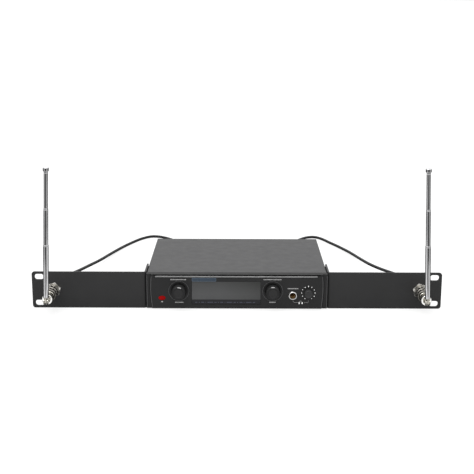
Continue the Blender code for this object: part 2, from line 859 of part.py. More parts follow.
def antenna(side_name, side):
    """A plug that swivels, a folding foot, three tubes that slide and an inner rod."""
    swivel = hub(
        "swivel_" + side_name,
        (side * ANTENNA_X, EAR_FRONT, ANTENNA_Z),
        (0, -side * LEAN, 0),
    )
    name = "antenna_base_" + side_name
    profile = [
        (0, RING_FACE - 1.6),
        (4.0, RING_FACE - 1.6),
        (4.4, RING_FACE),
        (RING_RADIUS - 0.3, RING_FACE),
        (RING_RADIUS, RING_FACE - 0.3),
        (RING_RADIUS, 37.8),
        (4.9, 37.0),
        (4.5, 36.0),
        (4.5, 26.6),
        (5.0, 26.0),
        (5.0, 14.6),
    ]
    base = turned(name, profile + PLUG_NOSE, (0, 0, 0), FACING_FRONT, swivel)
    fork_outline = arc((-PIVOT_REACH, 0), FORK_RADIUS, 90, 270, 8)
    fork_outline += [(-RING_FACE + 3, -FORK_RADIUS), (-RING_FACE + 3, FORK_RADIUS)]
    across = (math.radians(90), 0, math.radians(90))
    half = FORK_WIDTH / 2
    fork = slab(name + "_fork", fork_outline, -half, half, across, parent=swivel)
    join(base, fork)
    slot = block(
        name + "_slot",
        (-FORK_SLOT / 2, -PIVOT_REACH - 9, -9),
        (FORK_SLOT / 2, -PIVOT_REACH + 4.6, 9),
        swivel,
    )
    at_pivot = (0, -PIVOT_REACH, 0)
    sideways = (0, math.radians(90), 0)
    cut(base, slot)
    cut(base, rod(name + "_pin_hole", 1.1, -9, 9, at_pivot, sideways, swivel, steps=SMALL_ROUND))
    show(base, nickel())
    pin = rod(
        "antenna_pin_" + side_name, 0.9, -2.9, 2.9, at_pivot, sideways, swivel, steps=SMALL_ROUND
    )
    show(pin, nickel())

    fold = hub("fold_" + side_name, at_pivot, parent=swivel)
    blade_outline = arc((0, 0), 3.0, 180, 360, 8) + [(3.0, 4.6), (-3.0, 4.6)]
    thick = FORK_SLOT / 2 - GAP
    foot = slab(
        "antenna_foot_" + side_name, blade_outline, -thick, thick, across, parent=fold
    )
    seat = turned(
        name + "_seat",
        [(0, 13.0), (2.5, 13.0), (2.5, 4.9), (3.1, 4.9), (3.1, 4.2), (0, 4.2)],
        (0, 0, 0),
        parent=fold,
        steps=SMALL_ROUND,
    )
    eye = rod(name + "_eye", 1.1, -9, 9, (0, 0, 0), sideways, fold, steps=SMALL_ROUND)
    join(foot, seat)
    cut(foot, eye)
    show(foot, nickel())
    for letter, tube in (("a", TUBE_A), ("b", TUBE_B), ("c", TUBE_C)):
        section = pipe(
            f"antenna_tube_{letter}_{side_name}",
            tube["outer"] / 2,
            tube["inner"] / 2,
            tube["low"],
            tube["high"],
            (0, 0, 0),
            parent=fold,
            steps=SMALL_ROUND,
        )
        show(section, chrome())
    cap_low = TUBE_C["high"] + GAP
    tip = CAP_DIAMETER / 2
    tip_profile = [
        (0, ANTENNA_TIP),
        (tip - 0.6, ANTENNA_TIP),
        (tip, ANTENNA_TIP - 0.6),
        (tip, cap_low + 0.3),
        (tip - 0.3, cap_low),
        (ROD_DIAMETER / 2, cap_low),
        (ROD_DIAMETER / 2, ROD_LOW),
        (0, ROD_LOW),
    ]
    inner = turned(
        "antenna_rod_" + side_name, tip_profile, (0, 0, 0), parent=fold, steps=SMALL_ROUND
    )
    show(inner, chrome())


# Leads


def smooth(route, step):
    """Points about step apart on a smooth curve through the route's own points."""
    count = len(route)
    line = []
    for i in range(count - 1):
        before = route[max(i - 1, 0)]
        start, end = route[i], route[i + 1]
        after = route[min(i + 2, count - 1)]
        parts_here = max(1, round(math.dist(start, end) / step))
        for j in range(parts_here):
            t = j / parts_here
            line.append(
                tuple(
                    0.5
                    * (
                        2 * b
                        + (c - a) * t
                        + (2 * a - 5 * b + 4 * c - d) * t**2
                        + (3 * b - a - 3 * c + d) * t**3
                    )
                    for a, b, c, d in zip(before, start, end, after)
                )
            )
    return line + [route[-1]]


def lead(name, route):
    curve = bpy.data.curves.new(name, "CURVE")
    curve.dimensions = "3D"
    curve.bevel_depth = LEAD_DIAMETER / 2 * MM
    curve.bevel_resolution = 2
    curve.use_fill_caps = True
    points = smooth(route, LEAD_STEP)
    spline = curve.splines.new("POLY")
    spline.points.add(len(points) - 1)
    for point, (x, y, z) in zip(spline.points, points):
        point.co = (x * MM, y * MM, z * MM, 1)
    return show(bpy.data.objects.new(name, curve), rubber())


def leads(side_name, side, route):
    at_rear = (side * SOCKET_X, REAR_FACE, SOCKET_Z)
    at_ear = (side * ANTENNA_X, EAR_FRONT + EAR_SHEET, ANTENNA_Z)
    for end, at in (("rear", at_rear), ("ear", at_ear)):
        lead_plug(f"lead_plug_{end}_{side_name}", at)
        bayonet_collar(f"lead_collar_{end}_{side_name}", at, FACING_BACK)
    lead("lead_" + side_name, route)


chassis_base()
top_cover()
rear_panel()
xlr_socket()
jack("line_jack", LINE_X, REAR_ROW_Z, REAR_FACE - REAR_SHEET, FACING_BACK, 3.6, 20.0)
power_inlet()
front_panel()
trim_strip()
badge_plate()
display_window()
display_module()
ir_lens()
jack("headphone_jack", JACK_X, JACK_Z, INNER_FACE_Y, FACING_FRONT, 6.6, 20.0)
jack_ring()
pushing_knob("volume", VOLUME_X)
pushing_knob("menu", MENU_X)
level_knob()
main_board()
rf_shield()
for ear_side, ear_sign, lead_route in (("left", -1, LEAD_LEFT), ("right", 1, LEAD_RIGHT)):
    rack_ear(ear_side, ear_sign)
    rear_socket(ear_side, ear_sign)
    bulkhead(ear_side, ear_sign)
    long_collar("antenna_collar_" + ear_side, (ear_sign * ANTENNA_X, EAR_FRONT, ANTENNA_Z))
    antenna(ear_side, ear_sign)
    leads(ear_side, ear_sign, lead_route)
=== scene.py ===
"""The looks of the wireless receiver unit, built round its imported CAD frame.

Lengths are in millimetres until they reach a mesh. Left and right are as seen from the front.
"""

import json
import math

import bmesh
import bpy
from mathutils import Matrix, Vector

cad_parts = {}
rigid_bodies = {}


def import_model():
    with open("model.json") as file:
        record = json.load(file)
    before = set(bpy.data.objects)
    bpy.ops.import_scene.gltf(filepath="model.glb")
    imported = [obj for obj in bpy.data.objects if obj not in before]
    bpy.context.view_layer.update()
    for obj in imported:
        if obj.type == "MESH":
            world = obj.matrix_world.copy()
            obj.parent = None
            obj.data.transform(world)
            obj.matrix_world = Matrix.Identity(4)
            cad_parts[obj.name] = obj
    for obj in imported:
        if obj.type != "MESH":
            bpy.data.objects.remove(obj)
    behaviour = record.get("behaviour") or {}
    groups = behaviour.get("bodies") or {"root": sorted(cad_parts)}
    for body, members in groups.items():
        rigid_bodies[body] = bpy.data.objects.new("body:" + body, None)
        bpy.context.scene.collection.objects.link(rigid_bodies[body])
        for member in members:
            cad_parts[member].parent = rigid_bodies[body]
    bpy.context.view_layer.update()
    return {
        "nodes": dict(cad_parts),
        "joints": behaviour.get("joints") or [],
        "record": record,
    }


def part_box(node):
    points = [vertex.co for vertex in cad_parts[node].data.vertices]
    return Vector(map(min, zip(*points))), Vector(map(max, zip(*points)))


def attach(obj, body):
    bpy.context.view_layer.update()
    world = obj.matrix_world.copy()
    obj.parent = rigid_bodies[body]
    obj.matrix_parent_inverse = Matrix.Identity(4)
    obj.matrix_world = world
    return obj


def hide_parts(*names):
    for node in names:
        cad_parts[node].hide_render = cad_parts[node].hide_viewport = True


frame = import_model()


def turned(degrees, axis):
    return Matrix.Rotation(math.radians(degrees), 4, axis)


class Box:
    """The corners, middle and size of a CAD node, in millimetres."""

    def __init__(self, node):
        low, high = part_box(node)
        self.low, self.high = low / MM, high / MM
        self.middle = (self.low + self.high) / 2
        self.size = self.high - self.low


MM = 0.001
SIDES = (("left", -1), ("right", 1))
FACING_FRONT = turned(90, "X")
FACING_BACK = turned(-90, "X")
SIDEWAYS = turned(90, "Y")
SMOOTH_BELOW = math.radians(32)
JOINTS = {joint["name"]: joint for joint in frame["joints"]}
SLOTS = {row["slot"] for row in frame["record"]["materials"]}

PANEL = Box("front_panel")
COVER = Box("top_cover")
BASE = Box("chassis_base")
REAR = Box("rear_panel")
WINDOW = Box("display_window")
STRIP = Box("trim_strip")
JACK = Box("headphone_jack")
LENS = Box("ir_lens")
KNOBS = {name: Box(name + "_knob") for name in ("volume", "menu", "level")}
EARS = {side: Box("rack_ear_" + side) for side, _ in SIDES}
FACE_Y = PANEL.low.y
REAR_FACE = REAR.high.y
EAR_FRONT = EARS["left"].low.y
EAR_SHEET = 2
EAR_BACK = EAR_FRONT + EAR_SHEET


# The camera, light and floor, in metres and degrees

CAMERA_LENS = 76.37
CAMERA_SENSOR = 36
CAMERA_RIGHT, CAMERA_BEFORE_EARS, CAMERA_HEIGHT = -0.0007, 1.1373, 0.364
CAMERA_DOWN, CAMERA_YAW, CAMERA_ROLL = 13.704, -0.034, 0.197

# Brightness by direction, from the front, at 0, round either side to the back, at 1
BELOW_HORIZON = ((0, 0.002), (0.09, 0.004), (0.17, 0.2), (0.26, 0.27))
BELOW_HORIZON += ((0.42, 0.1), (0.6, 0.03), (0.85, 0.03), (1, 0.1))
ABOVE_HORIZON = ((0, 0.06), (0.2, 0.12), (0.5, 0.3), (1, 0.3))
# How far the sky has turned white, by height
SKY_RISE = ((0, 0), (0.3, 0.22), (0.7, 0.8), (1, 1))
SKY_STRENGTH = 1.9
HORIZON_SHARPNESS = 20
SOFTBOX_PLACE, SOFTBOX_SIZE, SOFTBOX_POWER = (-0.5, -0.5, 2), (1.6, 1.2), 16
FLOOR_REACH = 90

# A card that only reflections see. Its brightness runs from the object, at 0, to the camera, at 1,
# in the two strips in front of the antennas and in the open between and beside them.
CARD_BACK, CARD_FRONT, CARD_STEP = -0.093, -0.40, -0.165
CARD_HALF_WIDTH, CARD_TONGUE = 0.5, 0.11
CARD_NEAR = ((0, 0.4), (0.1, 0.5), (0.25, 0.8), (0.405, 0.9), (0.44, 0.3))
CARD_STRIPS = CARD_NEAR + ((0.72, 0.18), (0.9, 0.1), (1, 0.02))
CARD_OPEN = CARD_NEAR + ((0.52, 0.3), (0.6, 0.5), (0.75, 0.5), (1, 0.38))
STRIP_MIDDLE, STRIP_HALF_WIDTH = 0.185, 0.085
CARD_STRENGTH = 1.25
CARD_LIFT = 0.0001


def in_scene(name, data):
    made = bpy.data.objects.new(name, data)
    bpy.context.scene.collection.objects.link(made)
    return made


def make_camera():
    camera = in_scene("camera", bpy.data.cameras.new("camera"))
    camera.data.sensor_width = CAMERA_SENSOR
    camera.data.lens = CAMERA_LENS
    camera.data.clip_start = 0.05
    camera.data.clip_end = 50
    place = (CAMERA_RIGHT, EAR_FRONT * MM - CAMERA_BEFORE_EARS, CAMERA_HEIGHT)
    look = turned(CAMERA_YAW, "Z") @ turned(90 - CAMERA_DOWN, "X") @ turned(CAMERA_ROLL, "Z")
    camera.matrix_world = Matrix.Translation(place) @ look
    bpy.context.scene.camera = camera


class Nodes:
    """A node tree, with short ways to add nodes and feed them."""

    def __init__(self, tree):
        self.tree = tree

    def node(self, kind, **settings):
        made = self.tree.nodes.new("ShaderNode" + kind)
        for key, value in settings.items():
            setattr(made, key, value)
        return made

    def feed(self, socket, value):
        """Links an output to the socket, or sets the socket's own number or colour."""
        if isinstance(value, bpy.types.NodeSocket):
            self.tree.links.new(value, socket)
        elif isinstance(value, tuple):
            socket.default_value = (*value, 1)
        else:
            socket.default_value = value

    def axes(self, coordinates):
        split = self.node("SeparateXYZ")
        self.feed(split.inputs[0], self.node("TexCoord").outputs[coordinates])
        return split.outputs["X"], split.outputs["Y"], split.outputs["Z"]

    def math(self, operation, *values):
        made = self.node("Math", operation=operation)
        for socket, value in zip(made.inputs, values):
            self.feed(socket, value)
        return made.outputs[0]

    def range(self, value, low, high, new_low=0, new_high=1):
        mapped = self.node("MapRange")
        names = ("Value", "From Min", "From Max", "To Min", "To Max")
        for name, number in zip(names, (value, low, high, new_low, new_high)):
            self.feed(mapped.inputs[name], number)
        return mapped.outputs["Result"]

    def ramp(self, value, stops):
        """Grey levels at positions from 0 to 1."""
        made = self.node("ValToRGB")
        self.feed(made.inputs["Fac"], value)
        elements = made.color_ramp.elements
        for element, (position, level) in zip(elements, (stops[0], stops[-1])):
            element.position, element.color = position, (level, level, level, 1)
        for position, level in stops[1:-1]:
            elements.new(position).color = (level, level, level, 1)
        return made.outputs["Color"]

    def mix(self, factor, first, second):
        blend = self.node("Mix", data_type="RGBA")
        self.feed(blend.inputs["Factor"], factor)
        self.feed(blend.inputs[6], first)
        self.feed(blend.inputs[7], second)
        return blend.outputs[2]


def make_sky():
    """Broad and bright, but darker in front, behind the camera."""
    world = bpy.data.worlds.new("studio")
    bpy.context.scene.world = world
    world.use_nodes = True
    sky = Nodes(world.node_tree)
    x, y, z = sky.axes("Generated")
    turn = sky.math("ABSOLUTE", sky.math("ARCTAN2", x, sky.math("MULTIPLY", y, -1)))
    share = sky.math("DIVIDE", turn, math.pi)
    above = sky.mix(sky.ramp(z, SKY_RISE), sky.ramp(share, ABOVE_HORIZON), (1, 1, 1))
    is_above = sky.math("MULTIPLY_ADD", z, HORIZON_SHARPNESS, 0.5)
    background = world.node_tree.nodes["Background"]
    sky.feed(background.inputs["Color"], sky.mix(is_above, sky.ramp(share, BELOW_HORIZON), above))
    background.inputs["Strength"].default_value = SKY_STRENGTH


def make_softbox():
    light = in_scene("softbox", bpy.data.lights.new("softbox", "AREA"))
    light.data.shape = "RECTANGLE"
    light.data.size, light.data.size_y = SOFTBOX_SIZE
    light.data.energy = SOFTBOX_POWER
    light.location = SOFTBOX_PLACE
    light.rotation_euler = (-Vector(SOFTBOX_PLACE)).to_track_quat("-Z", "Y").to_euler()


def sheet(name, outline, height):
    """A flat sheet that belongs to the studio, not to the object, and its material."""
    mesh = bpy.data.meshes.new(name)
    mesh.from_pydata([(x, y, height) for x, y in outline], [], [list(range(len(outline)))])
    plane = in_scene(name, mesh)
    paint = bpy.data.materials.new(name + "_paint")
    paint.use_nodes = True
    mesh.materials.append(paint)
    return plane, paint.node_tree


def make_floor():
    """A white sweep, which polished parts don't reflect."""
    corners = [(-1, -1), (1, -1), (1, 1), (-1, 1)]
    floor, tree = sheet("floor", [(x * FLOOR_REACH, y * FLOOR_REACH) for x, y in corners], 0)
    inputs = tree.nodes["Principled BSDF"].inputs
    inputs["Base Color"].default_value = (0.25, 0.25, 0.25, 1)
    inputs["Emission Color"].default_value = (1, 1, 1, 1)
    inputs["Emission Strength"].default_value = 0.75
    inputs["Roughness"].default_value = 0.9
    inputs["Specular IOR Level"].default_value = 0
    floor.visible_glossy = False


def make_card():
    wide, narrow = CARD_HALF_WIDTH, CARD_TONGUE
    outline = [(-wide, CARD_FRONT), (wide, CARD_FRONT), (wide, CARD_STEP), (narrow, CARD_STEP)]
    outline += [(narrow, CARD_BACK), (-narrow, CARD_BACK), (-narrow, CARD_STEP), (-wide, CARD_STEP)]
    card, tree = sheet("card", outline, CARD_LIFT)
    tree.nodes.remove(tree.nodes["Principled BSDF"])
    paint = Nodes(tree)
    x, y, _ = paint.axes("Object")
    forward = paint.range(y, CARD_BACK, CARD_FRONT)
    in_strips = paint.math("COMPARE", paint.math("ABSOLUTE", x), STRIP_MIDDLE, STRIP_HALF_WIDTH)
    level = paint.mix(in_strips, paint.ramp(forward, CARD_OPEN), paint.ramp(forward, CARD_STRIPS))
    glow = paint.node("Emission")
    paint.feed(glow.inputs["Color"], level)
    glow.inputs["Strength"].default_value = CARD_STRENGTH
    paint.feed(tree.nodes["Material Output"].inputs["Surface"], glow.outputs["Emission"])
    card.visible_camera = False
    card.visible_diffuse = False
    card.visible_shadow = False


# Materials


class Finish(Nodes):
    """A Principled material, to which each method adds procedural detail."""

    def __init__(self, name, colour, roughness, metallic=0):
        self.material = bpy.data.materials.new(name)
        self.material.use_nodes = True
        super().__init__(self.material.node_tree)
        self.shader = self.tree.nodes["Principled BSDF"]
        self.colour = colour
        self.roughness = roughness
        self.set("Base Color", colour)
        self.set("Roughness", roughness)
        self.set("Metallic", metallic)
        self.coordinates = self.node("TexCoord").outputs["Object"]

    def set(self, name, value):
        self.feed(self.shader.inputs[name], value)

    def noise(self, scale, detail=3, roughness=0.55, stretch=(1, 1, 1)):
        """Noise over the object's own coordinates, scaled differently along each axis."""
        mapping = self.node("Mapping")
        mapping.inputs["Scale"].default_value = stretch
        self.feed(mapping.inputs["Vector"], self.coordinates)
        texture = self.node("TexNoise")
        names = ("Vector", "Scale", "Detail", "Roughness")
        for name, value in zip(names, (mapping.outputs["Vector"], scale, detail, roughness)):
            self.feed(texture.inputs[name], value)
        return texture.outputs["Fac"]

    def tint(self, amount, scale, wear=0):
        """Slow patches a little lighter and darker than the colour, and paler rubbed spots."""
        light = tuple(min(1, c * (1 + amount)) for c in self.colour)
        dark = tuple(c * (1 - amount) for c in self.colour)
        colour = self.mix(self.range(self.noise(scale, 4), 0.3, 0.7), dark, light)
        if wear:
            spots = self.noise(scale * 5, 6, 0.7, (1, 0.25, 1))
            rubbed = tuple(min(1, c * 3 + 0.02) for c in self.colour)
            colour = self.mix(self.range(spots, 0.6, 0.76, 0, wear), colour, rubbed)
        self.set("Base Color", colour)
        return self

    def uneven(self, amount, scale, stretch=(1, 1, 1)):
        """Roughness that varies over the surface, as handling and wear leave it."""
        low, high = max(0.02, self.roughness - amount), self.roughness + amount
        self.set("Roughness", self.range(self.noise(scale, 4, stretch=stretch), 0.3, 0.7, low, high))
        return self

    def grain(self, scale, height, strength=0.5, stretch=(1, 1, 1), detail=2):
        """Fine relief, its height in millimetres."""
        bump = self.node("Bump")
        bump.inputs["Distance"].default_value = height * MM
        bump.inputs["Strength"].default_value = strength
        self.feed(bump.inputs["Height"], self.noise(scale, detail, 0.5, stretch))
        self.set("Normal", bump.outputs["Normal"])
        return self

    def done(self, specular=None):
        if specular is not None:
            self.set("Specular IOR Level", specular)
        return self.material


def powder_coat(name, colour, roughness):
    finish = Finish(name, colour, roughness)
    return finish.tint(0.035, 45, 0.1).uneven(0.05, 90).grain(1500, 0.05).done(0.3)


def moulded(name, colour, roughness, relief=0.03):
    finish = Finish(name, colour, roughness)
    return finish.tint(0.06, 60, 0.06).uneven(0.06, 120).grain(2600, relief, detail=1).done(0.3)


def plated(name, colour, roughness, scratches=0.01):
    finish = Finish(name, colour, roughness, 1).tint(0.06, 150).uneven(roughness * 0.45, 260)
    return finish.grain(900, scratches, 0.25, (1, 1, 0.12)).done()


def brushed(name, colour, roughness):
    """Metal brushed along X."""
    finish = Finish(name, colour, roughness, 1).tint(0.08, 30).uneven(0.08, 3000, (0.02, 1, 1))
    return finish.grain(5000, 0.01, 0.4, (0.01, 1, 1)).done()


def jacket(name, colour):
    finish = Finish(name, colour, 0.5)
    return finish.tint(0.12, 80).uneven(0.08, 200).grain(700, 0.04, 0.4).done(0.3)


def ink(name, colour):
    return Finish(name, colour, 0.55).tint(0.05, 400).grain(4000, 0.01, 0.3).done()


def red_filter_with_painted_glow(name):
    finish = Finish(name, (0.2, 0, 0), 0.35)
    finish.tint(0.25, 260).uneven(0.05, 300).grain(900, 0.02, 0.3)
    # Painted glow: the lens gives off a faint red light of its own, though it is no lamp
    finish.set("Emission Color", (0.53, 0, 0))
    finish.set("Emission Strength", 0.12)
    return finish.done(0.07)


def display_glass(name):
    """A dark glossy window: a paler liquid-crystal area with a faint cell grid in a black edge, and a
    painted reflection across it.
    """
    black = (0.012, 0.012, 0.014)
    margin, low_z, high_z, fade = 0.1, 11.9, 33.9, 0.25
    cell, gap = 0.42, 0.08
    finish = Finish(name, black, 0.07)
    x, _, z = finish.axes("Object")

    def between(place, low, high):
        above = finish.range(place, low * MM, (low + fade) * MM)
        below = finish.range(place, (high - fade) * MM, high * MM, 1, 0)
        return finish.math("MINIMUM", above, below)

    def inside_cell(place):
        from_line = finish.math("PINGPONG", place, cell / 2 * MM)
        return finish.range(from_line, 0, cell * gap * MM)

    across = between(x, WINDOW.low.x + margin, WINDOW.high.x - margin)
    area = finish.math("MULTIPLY", across, between(z, low_z, high_z))
    grid = finish.math("MULTIPLY", inside_cell(x), inside_cell(z))
    cells = finish.mix(grid, (0.062, 0.063, 0.064), (0.074, 0.075, 0.076))
    cloud = finish.range(finish.noise(14, 2), 0.3, 0.7)
    clouded = finish.mix(cloud, (0.058, 0.059, 0.061), (0.084, 0.085, 0.086))
    # Painted reflection: paler low on the left, darker to the top and the right
    rightwards = finish.range(x, -20 * MM, WINDOW.high.x * MM, 0, 0.5)
    upwards = finish.range(z, 18 * MM, 34 * MM, 0, 0.6)
    painted_reflection_fade = finish.math("ADD", rightwards, upwards)
    with_painted_reflection = finish.mix(painted_reflection_fade, finish.mix(0.5, cells, clouded), (0.02, 0.021, 0.02))
    finish.set("Base Color", finish.mix(area, black, with_painted_reflection))
    return finish.done(0.35)


def make_materials():
    return {
        "painted_steel": powder_coat("cover_grey", (0.041, 0.041, 0.042), 0.5),
        "black_steel": powder_coat("ear_black", (0.027, 0.027, 0.0275), 0.5),
        "black_plastic": moulded("panel_black", (0.0155, 0.0155, 0.016), 0.46),
        "knob_plastic": moulded("knob_black", (0.011, 0.011, 0.0115), 0.55, 0.02),
        "knob_face": moulded("knob_face", (0.018, 0.018, 0.0185), 0.5, 0.02),
        # A paler copy of the knob plastic for the level knob: painted light
        "level_plastic": moulded("level_plastic", (0.028, 0.028, 0.029), 0.5, 0.02),
        # A paler copy of the panel plastic, for highlights painted along the panel's edges
        "panel_edge": moulded("panel_edge", (0.11, 0.11, 0.112), 0.4, 0.02),
        # The panel's top: a rougher copy of the panel plastic, its colour darkened as painted shade
        "panel_top": moulded("panel_top", (0.01, 0.01, 0.01), 0.65, 0.02),
        "nickel": plated("nickel_plate", (0.6, 0.58, 0.52), 0.17),
        # A darker copy of the nickel plate for the antenna collars: painted shade
        "dull_nickel": plated("dull_nickel", (0.235, 0.224, 0.203), 0.2),
        # A paler copy of the nickel plate for the loose bulkhead nuts: painted light
        "bright_nickel": plated("bright_nickel", (0.9, 0.88, 0.83), 0.17),
        "polished": plated("polished_face", (0.96, 0.95, 0.92), 0.1, 0.003),
        "chrome": plated("chrome_tube", (0.74, 0.74, 0.75), 0.11, 0.004),
        "silver": brushed("strip_silver", (0.36, 0.36, 0.362), 0.42),
        "blue_plate": moulded("badge_blue", (0.03, 0.046, 0.068), 0.3, 0.01),
        "pale_blue": moulded("badge_frame", (0.075, 0.1, 0.13), 0.3, 0.01),
        "smoked_window": display_glass("display_glass"),
        "red_lens": red_filter_with_painted_glow("red_filter_with_painted_glow"),
        "board": moulded("solder_resist", (0.015, 0.1, 0.045), 0.35, 0.05),
        "tinned_steel": brushed("tinned", (0.6, 0.6, 0.58), 0.35),
        "rubber": jacket("cord_jacket", (0.009, 0.009, 0.0095)),
        "print": ink("white_print", (0.35, 0.35, 0.35)),
        "soft_print": ink("grey_print", (0.4, 0.4, 0.4)),
        "dim_print": ink("dim_print", (0.042, 0.046, 0.07)),
        "bright_print": ink("bright_print", (0.95, 0.95, 0.95)),
        "gold": plated("gold_contact", (0.75, 0.52, 0.2), 0.2),
        # Near-black, for hidden and hollow parts, and as painted shade at the back of the panel's
        # groove
        "dark": moulded("black_and_painted_shade", (0.006, 0.006, 0.006), 0.7),
        "brown": moulded("contact_brown", (0.5, 0.34, 0.16), 0.4),
    }


# Shapes: from sizes in millimetres to meshes in metres


def evaluated(holder):
    """The mesh that an object's modifiers, or a curve's outlines, make. The object is removed."""
    bpy.context.view_layer.update()
    seen = holder.evaluated_get(bpy.context.evaluated_depsgraph_get())
    mesh = bpy.data.meshes.new_from_object(seen)
    bpy.data.batch_remove([holder, holder.data])
    return mesh


def flat_sided(mesh):
    """Smooth, but with sharp corners, and broad faces that stay flat to their edges."""
    mesh.shade_smooth()
    mesh.set_sharp_from_angle(angle=SMOOTH_BELOW)
    holder = in_scene("holder", mesh)
    holder.modifiers.new("weigh", "WEIGHTED_NORMAL").keep_sharp = True
    return evaluated(holder)


def finished(name, mesh, material, node=None, place=None, body="receiver", slot="same"):
    """Links a piece, gives it its material and the CAD body that it rides on, and hides the CAD node
    that it stands for. Its slot is worked out, as the material's own if the record has one so named,
    but not kept."""
    mesh.materials.clear()
    mesh.materials.append(MATERIALS[material])
    piece = in_scene(name, flat_sided(mesh))
    if place is not None:
        piece.matrix_world = place
    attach(piece, body)
    if slot == "same":
        slot = material if material in SLOTS else None
    if node:
        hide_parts(node)
    return piece


def to_mesh(shape, scale=MM):
    bmesh.ops.scale(shape, verts=shape.verts, vec=(scale,) * 3)
    bmesh.ops.recalc_face_normals(shape, faces=shape.faces)
    mesh = bpy.data.meshes.new("shape")
    shape.to_mesh(mesh)
    shape.free()
    return mesh


def at(x, y, z, turn=None):
    place = Matrix.Translation(Vector((x, y, z)) * MM)
    return place @ turn if turn is not None else place


def moved(mesh, matrix):
    mesh.transform(matrix)
    return mesh


def sideways(points, sign):
    return [(sign * x, y) for x, y in points]


def arc(centre, radius, start, end, count):
    angles = [math.radians(start + (end - start) * i / count) for i in range(count + 1)]
    return [(centre[0] + radius * math.cos(a), centre[1] + radius * math.sin(a)) for a in angles]


def circle(centre, radius, count=48):
    return arc(centre, radius, 0, 360 - 360 / count, count - 1)


def rounded(low, high, radius, count=8):
    """A rectangle with round corners."""
    x0, y0, x1, y1 = low[0] + radius, low[1] + radius, high[0] - radius, high[1] - radius
    outline = []
    for start, corner in ((0, (x1, y1)), (90, (x0, y1)), (180, (x0, y0)), (270, (x1, y0))):
        outline += arc(corner, radius, start, start + 90, count)
    return outline


def softened(points, radius, closed=False, count=3):
    """The outline again, with each corner a short curve."""
    smooth = []
    last = len(points) - 1
    for i, point in enumerate(points):
        if not closed and i in (0, last):
            smooth.append(tuple(point))
            continue
        corner = Vector(point)
        before = Vector(points[i - 1]) - corner
        after = Vector(points[(i + 1) % len(points)]) - corner
        start = corner + before.normalized() * min(radius, before.length * 0.45)
        end = corner + after.normalized() * min(radius, after.length * 0.45)
        for j in range(count + 1):
            t = j / count
            smooth.append(tuple(start * (1 - t) ** 2 + corner * 2 * t * (1 - t) + end * t**2))
    return smooth


def lathe(profile, steps=72, closed=False, soft=0.15, ripple=None):
    """A profile of (radius, height) turned about Z; ripple(angle, radius, height) adds relief."""
    shape = bmesh.new()
    rings = []
    for radius, height in softened(profile, soft, closed) if soft else profile:
        if radius < 1e-6:
            rings.append([shape.verts.new((0, 0, height))])
            continue
        ring = []
        for k in range(steps):
            angle = 2 * math.pi * k / steps
            r = radius + (ripple(angle, radius, height) if ripple else 0)
            ring.append(shape.verts.new((r * math.cos(angle), r * math.sin(angle), height)))
        rings.append(ring)
    pairs = list(zip(rings, rings[1:]))
    if closed:
        pairs.append((rings[-1], rings[0]))
    for upper, lower in pairs:
        for k in range(steps):
            n = (k + 1) % steps
            corners = [upper[k % len(upper)], upper[n % len(upper)]]
            corners += [lower[n % len(lower)], lower[k % len(lower)]]
            unique = list(dict.fromkeys(corners))
            if len(unique) > 2:
                shape.faces.new(unique)
    return to_mesh(shape)


def round_bar(radius, top, bottom, steps=32, soft=0):
    return lathe([(0, top), (radius, top), (radius, bottom), (0, bottom)], steps, soft=soft)


def cuboid(low, high, edge=0, segments=3):
    shape = bmesh.new()
    size = [b - a for a, b in zip(low, high)]
    middle = Vector([(a + b) / 2 for a, b in zip(low, high)])
    bmesh.ops.create_cube(shape, size=1, matrix=Matrix.Diagonal((*size, 1)))
    bmesh.ops.translate(shape, verts=shape.verts, vec=middle)
    if edge:
        edges = list(shape.edges)
        bmesh.ops.bevel(
            shape, geom=edges, offset=edge, segments=segments, profile=0.5, affect="EDGES"
        )
    return to_mesh(shape)


def slab(outlines, low, high, edge=0):
    """Flat outlines, the inner ones holes, filled and made thick along Z with rounded edges."""
    curve = bpy.data.curves.new("outline", "CURVE")
    curve.dimensions = "2D"
    curve.fill_mode = "BOTH"
    curve.extrude = ((high - low) / 2 - edge) * MM
    curve.bevel_depth = edge * MM
    curve.offset = -edge * MM
    curve.bevel_resolution = 2
    for outline in outlines:
        spline = curve.splines.new("POLY")
        spline.points.add(len(outline) - 1)
        for point, (x, y) in zip(spline.points, outline):
            point.co = (x * MM, y * MM, 0, 1)
        spline.use_cyclic_u = True
    shape = bmesh.new()
    shape.from_mesh(evaluated(in_scene("outline", curve)))
    bmesh.ops.remove_doubles(shape, verts=shape.verts, dist=1e-6)
    bmesh.ops.translate(shape, verts=shape.verts, vec=(0, 0, (low + high) / 2 * MM))
    return to_mesh(shape, 1)


def upright(outlines, front, back, edge=0):
    """(x, z) outlines made thick along Y."""
    return moved(slab(outlines, -back, -front, edge), FACING_FRONT)


def merged(meshes):
    """Several meshes as one, for pieces of one material that touch or repeat."""
    shape = bmesh.new()
    for mesh in meshes:
        shape.from_mesh(mesh)
    return to_mesh(shape, 1)


def carved(mesh, cuts=(), joins=(), within=()):
    """The mesh with others joined to it or cut out of it, or only what lies within others."""
    base = in_scene("base", mesh)
    helpers = []
    for operation, others in (("UNION", joins), ("DIFFERENCE", cuts), ("INTERSECT", within)):
        for other in others:
            helpers.append(in_scene("helper", other))
            change = base.modifiers.new("change", "BOOLEAN")
            change.operation = operation
            change.solver = "EXACT"
            change.object = helpers[-1]
    result = evaluated(base)
    bpy.data.batch_remove(helpers)
    return result


def eased(mesh, width, segments=2):
    """Rounds the hard edges that cutting has left."""
    base = in_scene("base", mesh)
    ease = base.modifiers.new("ease", "BEVEL")
    ease.width = width * MM
    ease.segments = segments
    ease.limit_method = "ANGLE"
    ease.angle_limit = math.radians(40)
    return evaluated(base)


def ribs(count, depth, least_radius, *bands):
    """A ripple of shallow grooves round the parts of a surface that lie in the bands of height."""

    def ripple(angle, radius, height):
        if radius < least_radius or not any(low < height < high for low, high in bands):
            return 0
        return -depth * (0.5 - 0.5 * math.cos(angle * count))

    return ripple


# Coaxial leads, from the plug at the rear to the one behind the ear

